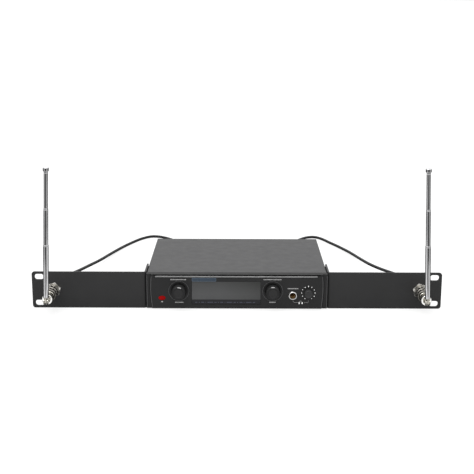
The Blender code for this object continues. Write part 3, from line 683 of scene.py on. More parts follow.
LEAD_DIAMETER = 3.9
LEAD_ROUTES = {
    "left": [
        (-75, 115.3, 22), (-75.3, 127, 21.6), (-76.4, 141, 19.6), (-78.8, 158, 15.8),
        (-82.4, 179.3, 11.6), (-87.9, 203.2, 8.2), (-96.4, 226.9, 5.6), (-108.3, 247.4, 3.6),
        (-119.1, 258.7, 2.6), (-130.9, 260.3, 2.2), (-143.6, 246.5, 2.1), (-156.2, 220.9, 2.1),
        (-168.3, 188.2, 2.4), (-178.8, 148.1, 3.8), (-187.3, 106, 6.4), (-195.5, 64.1, 10.5),
        (-202, 23.1, 15.4), (-208.1, -9.6, 19.4), (-214.1, -32, 21.9), (-215.9, -43, 22.5),
        (-216.1, -50.8, 22.6),
    ],
    "right": [
        (75, 115.3, 22), (75.2, 127, 21.6), (76, 141, 19.6), (77.8, 158, 15.8),
        (80.6, 179.6, 11.8), (85.1, 203.2, 8.4), (91.6, 226.1, 5.8), (100.4, 246.3, 3.8),
        (109, 257.4, 2.7), (118.2, 260.1, 2.2), (127.7, 249.7, 2.1), (137.5, 227.4, 2.1),
        (148.5, 201.2, 2.4), (160.2, 163.8, 3.8), (168.9, 120.6, 6.6), (176.5, 75.7, 10.8),
        (184.8, 36.9, 15.2), (195.3, 4.6, 18.6), (208.1, -27, 21.4), (214.6, -41.5, 22.4),
        (216.1, -50.8, 22.6),
    ],
}


def smooth_line(route, step=2):
    """Points about step apart on a smooth curve through the route's own points."""

    def blend(t, a, b, c, d):
        bend = (2 * a - 5 * b + 4 * c - d) * t**2 + (3 * b - a - 3 * c + d) * t**3
        return 0.5 * (2 * b + (c - a) * t + bend)

    line = []
    padded = [route[0], *route, route[-1]]
    for before, start, end, after in zip(padded, padded[1:], padded[2:], padded[3:]):
        count = max(1, round(math.dist(start, end) / step))
        for j in range(count):
            line.append([blend(j / count, *four) for four in zip(before, start, end, after)])
    return line + [list(route[-1])]


def make_lead(side):
    line = smooth_line(LEAD_ROUTES[side])
    curve = bpy.data.curves.new("cord_" + side, "CURVE")
    curve.dimensions = "3D"
    curve.bevel_depth = LEAD_DIAMETER / 2 * MM
    curve.bevel_resolution = 6
    curve.use_fill_caps = True
    spline = curve.splines.new("POLY")
    spline.points.add(len(line) - 1)
    for point, place in zip(spline.points, line):
        point.co = (*(value * MM for value in place), 1)
    spline.use_smooth = True
    curve.materials.append(MATERIALS["rubber"])
    cord = in_scene("cord_" + side, curve)
    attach(cord, "receiver")
    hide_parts("lead_" + side)
    return cord, sum(math.dist(a, b) for a, b in zip(line, line[1:])) * MM


# Coaxial connectors: each profile of (radius, height) runs outwards from the sheet behind it

HEX_FLATS, BULKHEAD_FLATS = 14, 15.6
HEX_LOW, HEX_HIGH = 0.3, 2.6
BAYONET_BORE = [(5.8, 3.2), (5.8, 12.3), (4.4, 12.3), (4.4, 14.2)]
COLLAR = [
    (6.5, 14.2), (7, 13.7), (7, 11.8), (6.5, 11.4), (7.15, 11), (7.18, 10.8), (7.18, 8),
    (7.18, 5), (7.18, 4.6), (6.7, 4.1), (7, 3.9), (6.9, 3.2), *BAYONET_BORE,
]
LONG_COLLAR = [
    (6.3, 25.5), (6.9, 25.2), (7.2, 24.6), (7.2, 24), (7.2, 18.6), (7.2, 18.1), (6.8, 17.6),
    (6.75, 16.9), (7.2, 16.4), (7.2, 15.9), (7.2, 10.5), (7.2, 10), (7, 9.3), (6.5, 8.7),
    (6.5, 3.6), (6.3, 3.2), *BAYONET_BORE, (5.9, 14.2), (5.9, 25.5),
]
PLUG_NOSE = [(4, 14.6), (4, 12), (5.4, 12), (5.4, 11.4), (2.2, 11.3), (2.2, 4), (0, 4)]
PLUG_BODY = [(0, 20.4), (4.2, 20.4), (5.1, 19.6), (5.1, 17.4), (4.7, 17.1), (4.7, 16.7)]
PLUG_BODY += [(5.1, 16.4), (5.1, 14.6)]
FERRULE = [(0, 27), (2.9, 27), (3.2, 26.6), (3.2, 20.3), (0, 20.3)]
BARREL = [(4.4, 11), (4.8, 10.6), (4.8, 0.4), (0, 0.4), (0, 1.4), (2.6, 1.4), (2.6, 10.4)]
BARREL += [(3.4, 10.7), (3.6, 11)]
STUD = [(0, 5.4), (0.85, 5.4), (0.95, 5.2), (0.95, 3.9), (0, 3.9)]
STUD_HEIGHT = 8.1


def make_collar(name, node, place, profile, ripple, material):
    mesh = lathe(profile, 288, closed=True, soft=0.1, ripple=ripple)
    return finished(name, mesh, material, node, place, node, "nickel")


def crimp(angle, radius, height):
    """Six flats pressed into the ferrule."""
    pressed = radius > 3 and 21.2 < height < 26
    return -0.16 * (0.5 + 0.5 * math.cos(angle * 6)) if pressed else 0


def make_lead_plug(side, end, place):
    """Body, crimped ferrule and a ribbed rubber strain relief."""
    metal = lathe(PLUG_BODY + PLUG_NOSE, 64, soft=0.12)
    both = merged([metal, lathe(FERRULE, 72, soft=0.1, ripple=crimp)])
    plug = finished(f"plug_{end}_{side}", both, "nickel", f"lead_plug_{end}_{side}", place)
    boot = [(0, 33.95), (2.1, 33.95), (2.35, 33.6)]
    for k in range(6):
        top, wide = 33.2 - k * 1.1, 2.45 + 0.1 * k
        boot += [(wide, top), (wide, top - 0.6), (wide - 0.3, top - 0.7), (wide - 0.25, top - 1)]
    boot += [(3.1, 26.4), (0, 26.4)]
    relief = lathe(boot, 48, soft=0.08)
    return plug, finished(f"boot_{end}_{side}", relief, "rubber", place=place)


def make_studs():
    """The two bayonet studs on a barrel."""
    studs = [lathe(STUD, 24) for _ in range(2)]
    for stud, degrees in zip(studs, (90, -90)):
        moved(stud, at(0, 0, STUD_HEIGHT, turned(degrees, "Y")))
    return merged(studs)


def hexagon(flats, low, high, bore=0):
    """A hexagonal nut with its corners turned off, bored if it is loose."""
    corner, hold = flats / math.sqrt(3), flats / 2
    outline = circle((0, 0), corner, 6)
    mask = [(0, high), (hold - 0.2, high), (corner + 0.1, high - 0.75), (corner + 0.1, low), (0, low)]
    nut = carved(slab([outline], low, high), within=[lathe(mask, soft=0)])
    return carved(nut, [round_bar(bore, high + 2, low - 2, 48)]) if bore else nut


def screw_thread(angle, radius, height, pitch=0.8, depth=0.14):
    turn = (height / pitch + angle / (2 * math.pi)) % 1
    return -depth * (abs(turn - 0.5) * 2)


def make_bulkhead(side, sign):
    """A socket on either side of the ear, on one threaded body with a loose nut in front."""
    middle = Box("bulkhead_" + side).middle
    behind = at(middle.x, EAR_BACK, middle.z, FACING_BACK)
    ahead = at(middle.x, EAR_FRONT, middle.z, FACING_FRONT)
    parts = []
    for place in (behind, ahead):
        parts.append(moved(lathe(BARREL, 64, closed=True, soft=0.1), place))
        parts.append(moved(make_studs(), place))
    parts.insert(2, moved(hexagon(HEX_FLATS, HEX_LOW, HEX_HIGH), behind))
    thread = [(0, 4.9)] + [(4.7, 4.8 - k * 0.1) for k in range(100)] + [(0, -5.2)]
    parts.append(moved(lathe(thread, 48, soft=0, ripple=screw_thread), ahead))
    finished("bulkhead_body_" + side, merged(parts), "nickel", "bulkhead_" + side)
    # The loose nut in a paler copy of the nickel plate: painted light
    nut = moved(hexagon(BULKHEAD_FLATS, HEX_LOW, HEX_HIGH, bore=5), ahead @ turned(-15 * sign, "Z"))
    node = "bulkhead_nut_" + side
    finished("bulkhead_hex_" + side, nut, "bright_nickel", node, slot="nickel")


def make_rear_socket(side):
    middle = Box("rear_socket_" + side).middle
    barrel = lathe(BARREL, 64, closed=True, soft=0.1)
    inner = round_bar(6.4, -1.8, -10, soft=0.15)
    thread = round_bar(4.7, 1.3, -4, soft=0.15)
    parts = [barrel, make_studs(), hexagon(HEX_FLATS, HEX_LOW, HEX_HIGH), inner, thread]
    socket = moved(merged(parts), at(middle.x, REAR_FACE, middle.z, FACING_BACK))
    finished("aerial_input_" + side, socket, "nickel", "rear_socket_" + side)


# Antennas

FORK_REACH = 3.2
FORK_INNER, FORK_OUTER, FORK_RADIUS = 1.16, 2.7, 3.15
BLADE_HALF = 0.85
FOOT_SEAT = [(0, 12.9), (2.5, 12.9), (2.5, 4.95), (2.95, 4.9), (3.1, 4.7), (3.1, 4.4)]
FOOT_SEAT += [(2.8, 4.2), (0, 4.2)]
PIN = [(0, 2.97), (0.7, 2.97), (1.35, 2.87), (1.35, 2.67), (0.85, 2.67), (0.85, -2.67)]
PIN += [(1.35, -2.67), (1.35, -2.87), (0.7, -2.97), (0, -2.97)]
# Letter, body, lower and upper end, outer and inner radius
TUBES = (
    ("a", "antenna_lower_", 5.2, 66.3, 3.1, 2.85),
    ("b", "antenna_middle_", 49, 107.9, 2.7, 2.5),
    ("c", "antenna_upper_", 92, 149.2, 2.35, 2.12),
)
ROD = [(0, 154.2), (2.5, 154.2), (3.2, 153.7), (3.35, 153.1), (3.35, 150.5), (3, 149.6)]
ROD += [(1.95, 149.5), (1.95, 98), (0, 98)]
# An outline's (x, y) become (z, y) for a cheek of the fork, and (y, z) for the blade
CHEEK_AXES = Matrix(((0, 0, 1, 0), (0, 1, 0, 0), (1, 0, 0, 0), (0, 0, 0, 1)))
BLADE_AXES = Matrix(((0, 0, 1, 0), (1, 0, 0, 0), (0, 1, 0, 0), (0, 0, 0, 1)))


def upright_axes(side):
    """The antenna's own axes at its folding pivot: local Z along the rod, local Y to the back."""
    pivot = Vector(JOINTS["antenna_fold_" + side]["pos_m"])
    along = Vector(JOINTS["antenna_tip_slide_" + side]["axis"]).normalized()
    back = Vector((0, 1, 0))
    turn = Matrix((back.cross(along), back, along)).transposed().to_4x4()
    return Matrix.Translation(pivot) @ turn


def make_antenna_base(side, stand):
    """The turned plug with its bright ring, and the fork and pin that the foot folds on."""
    body = "antenna_base_" + side
    pivot = EAR_FRONT - Box(body).low.y - FORK_REACH
    ring = pivot - 7
    place = stand @ at(0, pivot, 0, FACING_FRONT)
    face = [(3.9, ring + 0.03), (5.55, ring + 0.03), (5.9, ring - 0.3)]
    face += [(5.8, ring - 0.6), (3.9, ring - 0.4)]
    rim = lathe(face, 96, closed=True, soft=0)
    finished("aerial_rim_" + side, rim, "polished", place=place, body=body)
    profile = [(0, ring - 1.7), (3.4, ring - 1.7), (3.9, ring - 1.3), (4.2, ring - 0.2)]
    profile += [(4.4, ring), (5.55, ring), (5.9, ring - 0.35), (5.9, ring - 3.7)]
    profile += [(4.9, ring - 4.5), (4.5, ring - 5.5), (4.5, 26.6), (5, 26), (5, 14.6)]
    parts = [lathe(profile + PLUG_NOSE, 96)]
    foot_z = ring - 3
    outline = arc((pivot, 0), FORK_RADIUS, -90, 90, 24)
    outline += [(foot_z, FORK_RADIUS), (foot_z, -FORK_RADIUS)]
    hole = circle((pivot, 0), 1, 32)
    for low, high in ((-FORK_OUTER, -FORK_INNER), (FORK_INNER, FORK_OUTER)):
        parts.append(moved(slab([outline, hole], low, high, edge=0.25), CHEEK_AXES))
    finished("aerial_base_" + side, merged(parts), "nickel", body, place, body)
    pin = lathe(PIN, 32, soft=0.08)
    node = "antenna_pin_" + side
    finished("aerial_pin_" + side, pin, "nickel", node, stand @ SIDEWAYS, body)


def tube_profile(low, high, outer, inner):
    """A drawn tube with a rolled lip at its top."""
    lip = high - 0.9
    groove = outer - 0.14
    return [
        (inner + 0.02, high), (outer - 0.12, high), (outer, high - 0.15), (outer, lip),
        (groove, lip - 0.25), (groove, lip - 0.6), (outer, lip - 0.9), (outer, low), (inner, low),
    ]


def make_antenna(side):
    stand = upright_axes(side)
    make_antenna_base(side, stand)
    body = "antenna_lower_" + side
    outline = arc((0, 0), 2.95, 180, 360, 24) + [(2.95, 4.6), (-2.95, 4.6)]
    blade = slab([outline, circle((0, 0), 1.05, 32)], -BLADE_HALF, BLADE_HALF, edge=0.2)
    foot = merged([moved(blade, BLADE_AXES), lathe(FOOT_SEAT, 64, soft=0.12)])
    finished("aerial_foot_" + side, foot, "nickel", "antenna_foot_" + side, stand, body)
    for letter, rides_on, *sizes in TUBES:
        tube = lathe(tube_profile(*sizes), closed=True, soft=0.06)
        name, node = f"aerial_tube_{letter}_{side}", f"antenna_tube_{letter}_{side}"
        finished(name, tube, "chrome", node, stand, rides_on + side)
    tip = lathe(ROD, soft=0.3)
    node = "antenna_rod_" + side
    finished("aerial_rod_" + side, tip, "chrome", node, stand, "antenna_tip_" + side)


# Receiver box

SHEET = 1.2
COVER_SCREW_Z = 8
VENT_HALF, VENT_LENGTH = 1.2, 16


def screw_head(radius, high):
    """A pan-head screw with a cross recess, standing on Z = 0."""
    profile = [(0, high), (radius * 0.55, high * 0.94), (radius * 0.9, high * 0.6)]
    profile += [(radius, 0.05), (radius, -0.3), (0, -0.3)]
    long, wide, deep = radius * 0.55, radius * 0.12, high * 0.45
    cross = [cuboid((-x, -y, deep), (x, y, high + 1)) for x, y in ((long, wide), (wide, long))]
    return carved(lathe(profile, 40, soft=0.1), cross)


def make_cover():
    """One bent sheet: the outline of its end, made long along Y."""
    side, top, low = COVER.high.x, COVER.high.z, COVER.low.z
    bend = 1.7
    centre = (side - bend, top - bend)
    outer, inner = arc(centre, bend, 90, 0, 8), arc(centre, bend - SHEET, 0, 90, 6)
    outline = sideways(outer[::-1], -1) + outer + [(side, low), (side - SHEET, low)]
    outline += inner + sideways(inner[::-1], -1) + [(-side + SHEET, low), (-side, low)]
    shell = upright([outline], COVER.low.y, COVER.high.y)
    holes, screws = [], []
    for sign in (-1, 1):
        for y in (-30, 20, 68):
            holes.append(moved(round_bar(1.75, 3, -3), at(sign * side, y, COVER_SCREW_Z, SIDEWAYS)))
        for y in (20, 68):
            place = at(sign * (side - 0.75), y, COVER_SCREW_Z, turned(90 * sign, "Y"))
            screws.append(moved(screw_head(1.6, 0.55), place))
    shell = eased(carved(shell, holes), 0.25)
    finished("cover_sheet", shell, "painted_steel", "top_cover")
    finished("cover_screws", merged(screws), "tinned_steel")


def make_base():
    """The bottom tray, with two rows of vents and a blank rating plate."""
    side, low, high = BASE.high.x, BASE.low.z, BASE.high.z
    outline = [(side - 0.8, low), (side - 0.3, low + 0.2), (side, low + 0.8), (side, high)]
    outline += [(side - SHEET, high), (side - SHEET, low + SHEET)]
    tray = upright([outline + sideways(outline[::-1], -1)], BASE.low.y, BASE.high.y)
    vents = []
    for x in range(-32, 33, 8):
        for y in (20, 40):
            corners = (x - VENT_HALF, y - VENT_LENGTH / 2), (x + VENT_HALF, y + VENT_LENGTH / 2)
            vents.append(slab([rounded(*corners, VENT_HALF - 0.01, 6)], -3, 5))
    tray = eased(carved(tray, vents), 0.2)
    finished("base_tray", tray, "painted_steel", "chassis_base")
    plate = slab([rounded((-30, -50), (30, -22), 2)], -0.02, 0.22, 0.05)
    finished("rating_plate", plate, "silver")


# Front panel

FACE_THICK = 0.9
SET_BACK = FACE_Y + FACE_THICK
INK_RISE = 0.03
GROOVE_HALF, GROOVE_LOW, GROOVE_HIGH = 98.2, 40.9, 42.2
DISH = [(0, 2), (12.2, 2), (11.85, 0.3), (11.8, -0.02), (11.45, -0.32), (9.85, -0.5)]
DISH += [(8.5, -0.95), (8.35, -1.2), (8.35, -3), (4, -3), (4, -12), (0, -12)]
# A thin paler ring round each dish: a painted highlight on its rim
DISH_PAINTED_HIGHLIGHT = [(11.95, 0.04), (11.95, -0.1), (11.65, -0.1), (11.65, 0.04)]
DOME = [(0, 0.45), (0.5, 0.42), (0.8, 0.28), (0.95, 0.1), (1, -0.2), (1, -6), (0, -6)]


def at_front(middle, y=FACE_Y):
    """The place on the front at a node's middle, with local Z towards the viewer."""
    return at(middle.x, y, middle.z, FACING_FRONT)


def end_line(heights, sign, shift):
    """Where the raised face ends: a shallow curve towards the corners."""
    return [(sign * (101.75 - (z - 25.5) ** 2 / 300 + shift), z) for z in heights]


def closed_band(line, width):
    return line + [(x + width, z) for x, z in reversed(line)]


def make_panel_shell(heights):
    """The moulded front: a raised face between two curved edges, with its recesses."""
    low, high = PANEL.low, PANEL.high
    block = cuboid((low.x, SET_BACK, low.z), high, 0.8, 4)
    raised = end_line(heights, 1, 0) + end_line(heights[::-1], -1, 0)
    face = upright([raised], FACE_Y, SET_BACK + 0.4, 0.4)
    cuts = [
        cuboid((low.x + 2, FACE_Y + 5, low.z + 2), (high.x - 2, high.y + 5, high.z - 2)),
        cuboid((-GROOVE_HALF, FACE_Y - 2, GROOVE_LOW), (GROOVE_HALF, FACE_Y + 4, GROOVE_HIGH)),
        cuboid((STRIP.low.x - 0.3, FACE_Y - 2, 38.6), (STRIP.high.x + 0.3, FACE_Y + 0.7, 41.4)),
    ]
    for name in ("volume", "menu"):
        cuts.append(moved(lathe(DISH, 96, soft=0.2), at_front(KNOBS[name].middle)))
    corner = (WINDOW.high.x + 0.2, WINDOW.high.z + 0.2)
    seat = rounded((WINDOW.low.x - 0.2, WINDOW.low.z - 0.2), corner, 1)
    cuts.append(upright([seat], FACE_Y - 2, FACE_Y + 2))
    for centre, radius in ((JACK.middle, 4.6), (KNOBS["level"].middle, 2.4)):
        cuts.append(moved(round_bar(radius, 3, -9, 48), at_front(centre)))
    ellipse = []
    for x, z in circle((0, 0), 1):
        wide, tall = LENS.size.x / 2 + 0.15, LENS.size.z / 2 + 0.15
        ellipse.append((LENS.middle.x + wide * x, LENS.middle.z + tall * z))
    cuts.append(upright([ellipse], FACE_Y - 2, FACE_Y + 9))
    for sign in (-1, 1):
        groove = closed_band(end_line(heights, sign, 0.02), sign * 0.8)
        cuts.append(upright([groove], FACE_Y - 1, SET_BACK + 0.8))
    finished("panel_shell", carved(block, cuts, [face]), "black_plastic", "front_panel")


def make_painted_edge_highlights(heights):
    """Paler lines painted as highlights where light would catch the edges: the face's ends, the outer
    corners and round each dish.
    """
    low, high = PANEL.low, PANEL.high
    edges = []
    for sign in (-1, 1):
        line = closed_band(end_line(heights[1:-2], sign, -0.4), sign * -0.45)
        edges.append(upright([line], FACE_Y - 0.03, FACE_Y + 0.2))
        x = sign * (high.x - 0.75)
        corner = (x, SET_BACK - 0.05, low.z + 1.5)
        edges.append(cuboid(corner, (x + 0.4, SET_BACK + 0.3, high.z - 1.5)))
    for name in ("volume", "menu"):
        dish_highlight = lathe(DISH_PAINTED_HIGHLIGHT, 96, closed=True, soft=0)
        edges.append(moved(dish_highlight, at_front(KNOBS[name].middle)))
    finished("painted_edge_highlights", merged(edges), "panel_edge")


def make_panel():
    low, high = PANEL.low, PANEL.high
    heights = [low.z + i * (high.z - low.z) / 30 for i in range(31)]
    make_panel_shell(heights)
    make_painted_edge_highlights(heights)
    # A near-black sheet at the back of the groove: painted shade in the groove
    half = GROOVE_HALF - 0.1
    corner = (half, FACE_Y + 1.2, GROOVE_HIGH - 0.05)
    floor = cuboid((-half, FACE_Y + 1.1, GROOVE_LOW + 0.05), corner)
    finished("groove_painted_shade", floor, "dark")
    # A thin layer over the panel's top in a rougher plastic whose darker colour is painted shade
    corner = (high.x - 1, high.y - 0.2, high.z + 0.02)
    lid = cuboid((low.x + 1, SET_BACK, high.z - 0.1), corner)
    finished("panel_lid", lid, "panel_top", slot="black_plastic")
    strip_low = (STRIP.low.x + 0.6, STRIP.low.y, STRIP.low.z + 0.2)
    strip_high = (STRIP.high.x - 0.9, STRIP.high.y, STRIP.high.z - 0.1)
    finished("bright_strip", cuboid(strip_low, strip_high, 0.25), "silver", "trim_strip")


def make_badge():
    """A plain plate with a pale frame."""
    badge, frame_width = Box("badge_plate"), (0.55, 0.5)
    low, high = (badge.low.x, badge.low.z - 0.5), (badge.high.x, badge.high.z + 0.4)
    outline = rounded(low, high, 0.7)
    plate = upright([outline], badge.low.y, badge.high.y, 0.12)
    finished("colour_plate", plate, "blue_plate", "badge_plate")
    inner_low = [a + b for a, b in zip(low, frame_width)]
    inner = rounded(inner_low, [a - b for a, b in zip(high, frame_width)], 0.4)
    line = upright([outline, inner[::-1]], badge.low.y - 0.03, badge.low.y + 0.1)
    finished("colour_frame", line, "pale_blue")


def make_window():
    """The display's pane and the infrared lens."""
    outline = rounded((WINDOW.low.x, WINDOW.low.z), (WINDOW.high.x, WINDOW.high.z), 0.9)
    pane = upright([outline], WINDOW.low.y, WINDOW.high.y, 0.15)
    finished("window_pane", pane, "smoked_window", "display_window")
    squeeze = Matrix.Diagonal((LENS.size.x / 2, LENS.size.z / 2, 1, 1))
    dome = moved(lathe(DOME, 64, soft=0.03), at_front(LENS.middle) @ squeeze)
    finished("infrared_lens", dome, "red_lens", "ir_lens")


# Printed marks: plain bars and dots that stand for the legends


def on_face(outline):
    return upright([outline], FACE_Y - INK_RISE, FACE_Y + INK_RISE)


def bars(x0, x1, z, height, widths, y=FACE_Y, gap=0.35):
    """A row of short printed bars, where a legend would stand, widths repeating along it."""
    front = y - INK_RISE
    row, x, i = [], x0, 0
    while x < x1 - 0.2:
        wide = min(widths[i % len(widths)], x1 - x)
        if wide > 0.3:
            row.append(cuboid((x, front, z - height / 2), (x + wide, front + 0.06, z + height / 2)))
        x += wide + gap
        i += 1
    return row


# Node, left and right end from its middle, height on the panel, bars' height and their widths
TITLES = (
    ("volume_knob", -9.7, 9.1, 36.3, 1.2, (1.1, 0.9, 1.2, 1, 0.8, 2.2)),
    ("menu_knob", -10.8, 10, 36.6, 1.2, (1, 1.2, 0.8, 1.1, 2)),
    ("headphone_jack", -6.1, 6.7, 25.7, 1.2, (1.1, 1.2, 0.9)),
)
CAPTIONS = (
    ("volume_knob", -4.5, 5.3, 8.5, 1.2, (1.2, 0.9, 1.1)),
    ("menu_knob", -3.8, 3.7, 8.9, 1.3, (1.3, 1, 1.2)),
    ("ir_lens", -1.2, 1.2, 9.2, 1.3, (0.7, 1.2)),
)
# The lines from the socket and from its level knob to the headphone sign: lower and upper corner
SIGN_LINES = (
    ((66, 10.1), (66.25, 11)),
    ((67.9, 8.6), (71.6, 8.85)),
    ((78.6, 8.6), (84.2, 8.85)),
    ((84, 8.6), (84.25, 11.4)),
)
SIGN_SLANT = [(66, 10.15), (66.25, 10.2), (68, 8.85), (67.85, 8.6)]
SIGN_MIDDLE, SIGN_CUPS = (75.2, 8.9), (73.4, 77)
SCALE_RADIUS, SCALE_STEPS = 7.9, 11


def legends(rows):
    row_bars = []
    for node, left, right, *rest in rows:
        middle = Box(node).middle.x
        row_bars += bars(middle + left, middle + right, *rest)
    return row_bars


def scale_marks():
    """Dots round the level knob, with a pointer at the top and a smaller dot at the end."""
    middle = KNOBS["level"].middle
    marks = []
    for step in range(SCALE_STEPS):
        angle = math.radians(240 - step * 30)
        x = middle.x + SCALE_RADIUS * math.cos(angle)
        z = middle.z + SCALE_RADIUS * math.sin(angle)
        outline = circle((x, z), 0.35 if step == SCALE_STEPS - 1 else 0.53, 20)
        if step == SCALE_STEPS // 2:
            outline = [(x - 0.6, z + 0.9), (x + 0.6, z + 0.9), (x + 0.2, z - 0.8), (x - 0.2, z - 0.8)]
        marks.append(on_face(outline[::-1]))
    return marks


def make_print():
    finished("panel_legends", merged(legends(CAPTIONS)), "soft_print")
    marks, dots = legends(TITLES), scale_marks()
    marks.append(on_face(arc(SIGN_MIDDLE, 1.9, 180, 0, 16) + arc(SIGN_MIDDLE, 1.65, 0, 180, 16)))
    dots += [on_face(rounded((x - 0.7, 7), (x + 0.7, 9.1), 0.45, 4)) for x in SIGN_CUPS]
    for (x0, z0), (x1, z1) in SIGN_LINES:
        marks.append(cuboid((x0, FACE_Y - INK_RISE, z0), (x1, FACE_Y + INK_RISE, z1)))
    marks.append(on_face(SIGN_SLANT))
    finished("panel_marks", merged(marks), "print")
    finished("panel_dots", merged(dots), "bright_print")
    widths = (2.6, 1.2, 3.4, 0.9, 6.5)
    dim = bars(WINDOW.low.x + 4, WINDOW.high.x - 6, 8.6, 1, widths, WINDOW.low.y, 1.6)
    finished("window_marks", merged(dim), "dim_print")


# Knobs and the headphone socket


def patch(profile, start, end, steps=16):
    """Part of a turned surface between two angles in degrees, for a printed mark on one."""
    shape = bmesh.new()
    angles = [math.radians(start + (end - start) * k / steps) for k in range(steps + 1)]
    rows = []
    for r, height in profile:
        rows.append([shape.verts.new((r * math.cos(a), r * math.sin(a), height)) for a in angles])
    for row, following in zip(rows, rows[1:]):
        for k in range(steps):
            shape.faces.new((row[k], row[k + 1], following[k + 1], following[k]))
    return to_mesh(shape)


def make_knob(name, half_mark, lean, mark_line):
    """A ribbed grip with a dished cap and a printed pointer, and its shaft."""
    knob, shaft = KNOBS[name], Box(name + "_shaft")
    front, radius, body = FACE_Y - knob.low.y, knob.size.x / 2, name + "_dial"
    place = at_front(knob.middle)
    profile = [
        (0, front - 0.75), (3, front - 0.7), (5.2, front - 0.45), (5.7, front - 0.05),
        (6, front), (radius - 0.9, front), (radius - 0.2, front - 0.7),
        (radius - 0.02, front - 1.6), (radius, front - 1.8), (radius, 4), (radius, 0.6),
        (radius - 0.02, 0.4), (radius, 0.2), (radius, -1.2), (radius - 0.4, -1.7), (3.3, -1.7),
        (3.3, front - 2), (0, front - 2),
    ]
    grip = ribs(48, 0.16, radius - 0.01, (0.5, front - 1.7))
    mesh = lathe(profile, 288, soft=0.12, ripple=grip)
    finished(name + "_grip", mesh, "knob_plastic", name + "_knob", place, body)
    disc = [(0, -0.72), (3, -0.67), (5.1, -0.43), (5.1, -0.8), (0, -0.9)]
    cap = lathe([(r, front + depth) for r, depth in disc], 96, soft=0)
    finished(name + "_cap", cap, "knob_face", place=place, body=body)
    line = [(r, front + depth) for r, depth in mark_line(radius - 0.9)]
    mark = patch(line, 90 - lean - half_mark, 90 - lean + half_mark)
    finished(name + "_pointer", mark, "soft_print", place=place, body=body)
    rod = round_bar(3, shaft.size.y / 2, -shaft.size.y / 2, 48, 0.2)
    middle = at_front(shaft.middle, shaft.middle.y)
    finished(name + "_spindle", rod, "tinned_steel", name + "_shaft", middle, body)


def volume_mark(rim):
    return [(6.4, 0.03), (rim, 0.03), (rim + 0.3, -0.27)]


def menu_mark(rim):
    return [(rim - 0.05, 0.03), (rim + 0.7, -0.67), (rim + 0.8, -0.87)]


def make_level_knob():
    knob = KNOBS["level"]
    front = FACE_Y - knob.low.y
    profile = [
        (0, front - 0.4), (2.8, front - 0.35), (3.3, front), (4.1, front), (4.6, front - 0.4),
        (4.75, front - 1), (4.75, 0.9), (4.6, 0.4), (2, 0.4), (2, -8.6), (0, -8.6),
    ]
    mesh = lathe(profile, 192, soft=0.12, ripple=ribs(24, 0.25, 4.7, (0.8, front - 0.9)))
    place = at_front(knob.middle)
    # The level knob in a paler copy of the knob plastic: painted light
    finished(
        "level_grip", mesh, "level_plastic", "level_knob", place, "level_dial", "knob_plastic"
    )


def make_headphone_socket():
    place = at_front(JACK.middle)
    proud, mouth = FACE_Y - Box("jack_ring").low.y, FACE_Y - JACK.low.y
    face = [(3.95, proud + 0.03), (4.55, proud + 0.03), (4.9, proud - 0.3), (3.95, proud - 0.3)]
    rim = lathe(face, 96, closed=True, soft=0)
    finished("socket_rim", rim, "chrome", place=place, slot=None)
    ring = [(4.35, proud - 0.25), (4.55, proud), (4.75, proud - 0.1), (4.9, proud - 0.5)]
    nut = lathe(ring + [(4.9, 0.2), (4.4, 0.2)], closed=True, soft=0.08)
    finished("socket_ring", nut, "nickel", "jack_ring", place)
    profile = [(4, mouth), (4.3, mouth - 0.3), (4.3, -5.2), (7, -5.3), (7, -20)]
    profile += [(3.17, -20), (3.17, mouth - 2.2), (3.8, mouth)]
    sleeve = lathe(profile, 64, closed=True, soft=0.1)
    finished("socket_sleeve", sleeve, "nickel", "headphone_jack", place)
    finished("socket_bore", jack_bore(-1.5), "brown", place=place)


def jack_bore(top):
    """The thin dark lining of a 6.35 mm socket, with its floor."""
    profile = [(3.15, top), (3.15, -17), (0, -17), (0, -17.4), (3.16, -17.4), (3.165, top)]
    return lathe(profile, 48, closed=True, soft=0)


# Rear panel

XLR_SCREWS = ((-9.6, 12), (9.6, -12))
XLR_CUP = [(9.4, 2), (9.4, -9), (0, -9), (0, -18), (11.6, -18), (11.6, 0.4), (9.5, 0.4)]
XLR_PIN = [(0, 0.4), (0.7, 0.2), (1.2, -0.6), (1.2, -9.2), (0, -9.2)]
XLR_PIN_CIRCLE = 3.75
LINE_SLEEVE = [(3.9, 3.6), (4.3, 3.3), (4.3, -0.2), (7, -0.3), (7, -20), (3.17, -20)]
LINE_SLEEVE += [(3.17, 3.3), (3.4, 3.6)]
POWER_SHELL = [(0, -9), (3.1, -9), (3.1, 1.2), (3.5, 1.6), (6.2, 1.6), (6.6, 1.2)]
POWER_SHELL += [(6.6, 0.3), (5.5, 0.3), (5.5, -12), (0, -12)]
POWER_PIN = [(0, -0.8), (0.7, -0.9), (1, -1.3), (1, -9.2), (0, -9.2)]


def at_rear(middle, forward=0):
    """The place on the rear panel at a node's middle, with local Z to the back."""
    return at(middle.x, REAR_FACE - forward, middle.z, FACING_BACK)


def make_rear():
    side, low, high = REAR.high.x, REAR.low.z, REAR.high.z
    xlr, line, power = (Box(name).middle for name in ("xlr_socket", "line_jack", "power_inlet"))
    round_holes = [(Box("rear_socket_" + end).middle, 4.95) for end, _ in SIDES]
    round_holes += [(xlr, 12), (line, 5), (power, 5.8)]
    holes = [circle((centre.x, centre.z), radius)[::-1] for centre, radius in round_holes]
    edge = rounded((-side, low), (side, high), 0.6)
    plate = upright([edge, *holes], REAR.low.y, REAR_FACE, 0.15)
    finished("rear_sheet", plate, "painted_steel", "rear_panel")
    screws = make_output_socket(at_rear(xlr))
    make_line_socket(at_rear(line, 1.5))
    make_power_inlet(at_rear(power))
    for x in (-side + 5, side - 5, 56, -56):
        place = at(x, REAR_FACE, high - 5, FACING_BACK)
        screws.append(moved(screw_head(2.4, 1.3), place))
    finished("rear_screws", merged(screws), "tinned_steel")


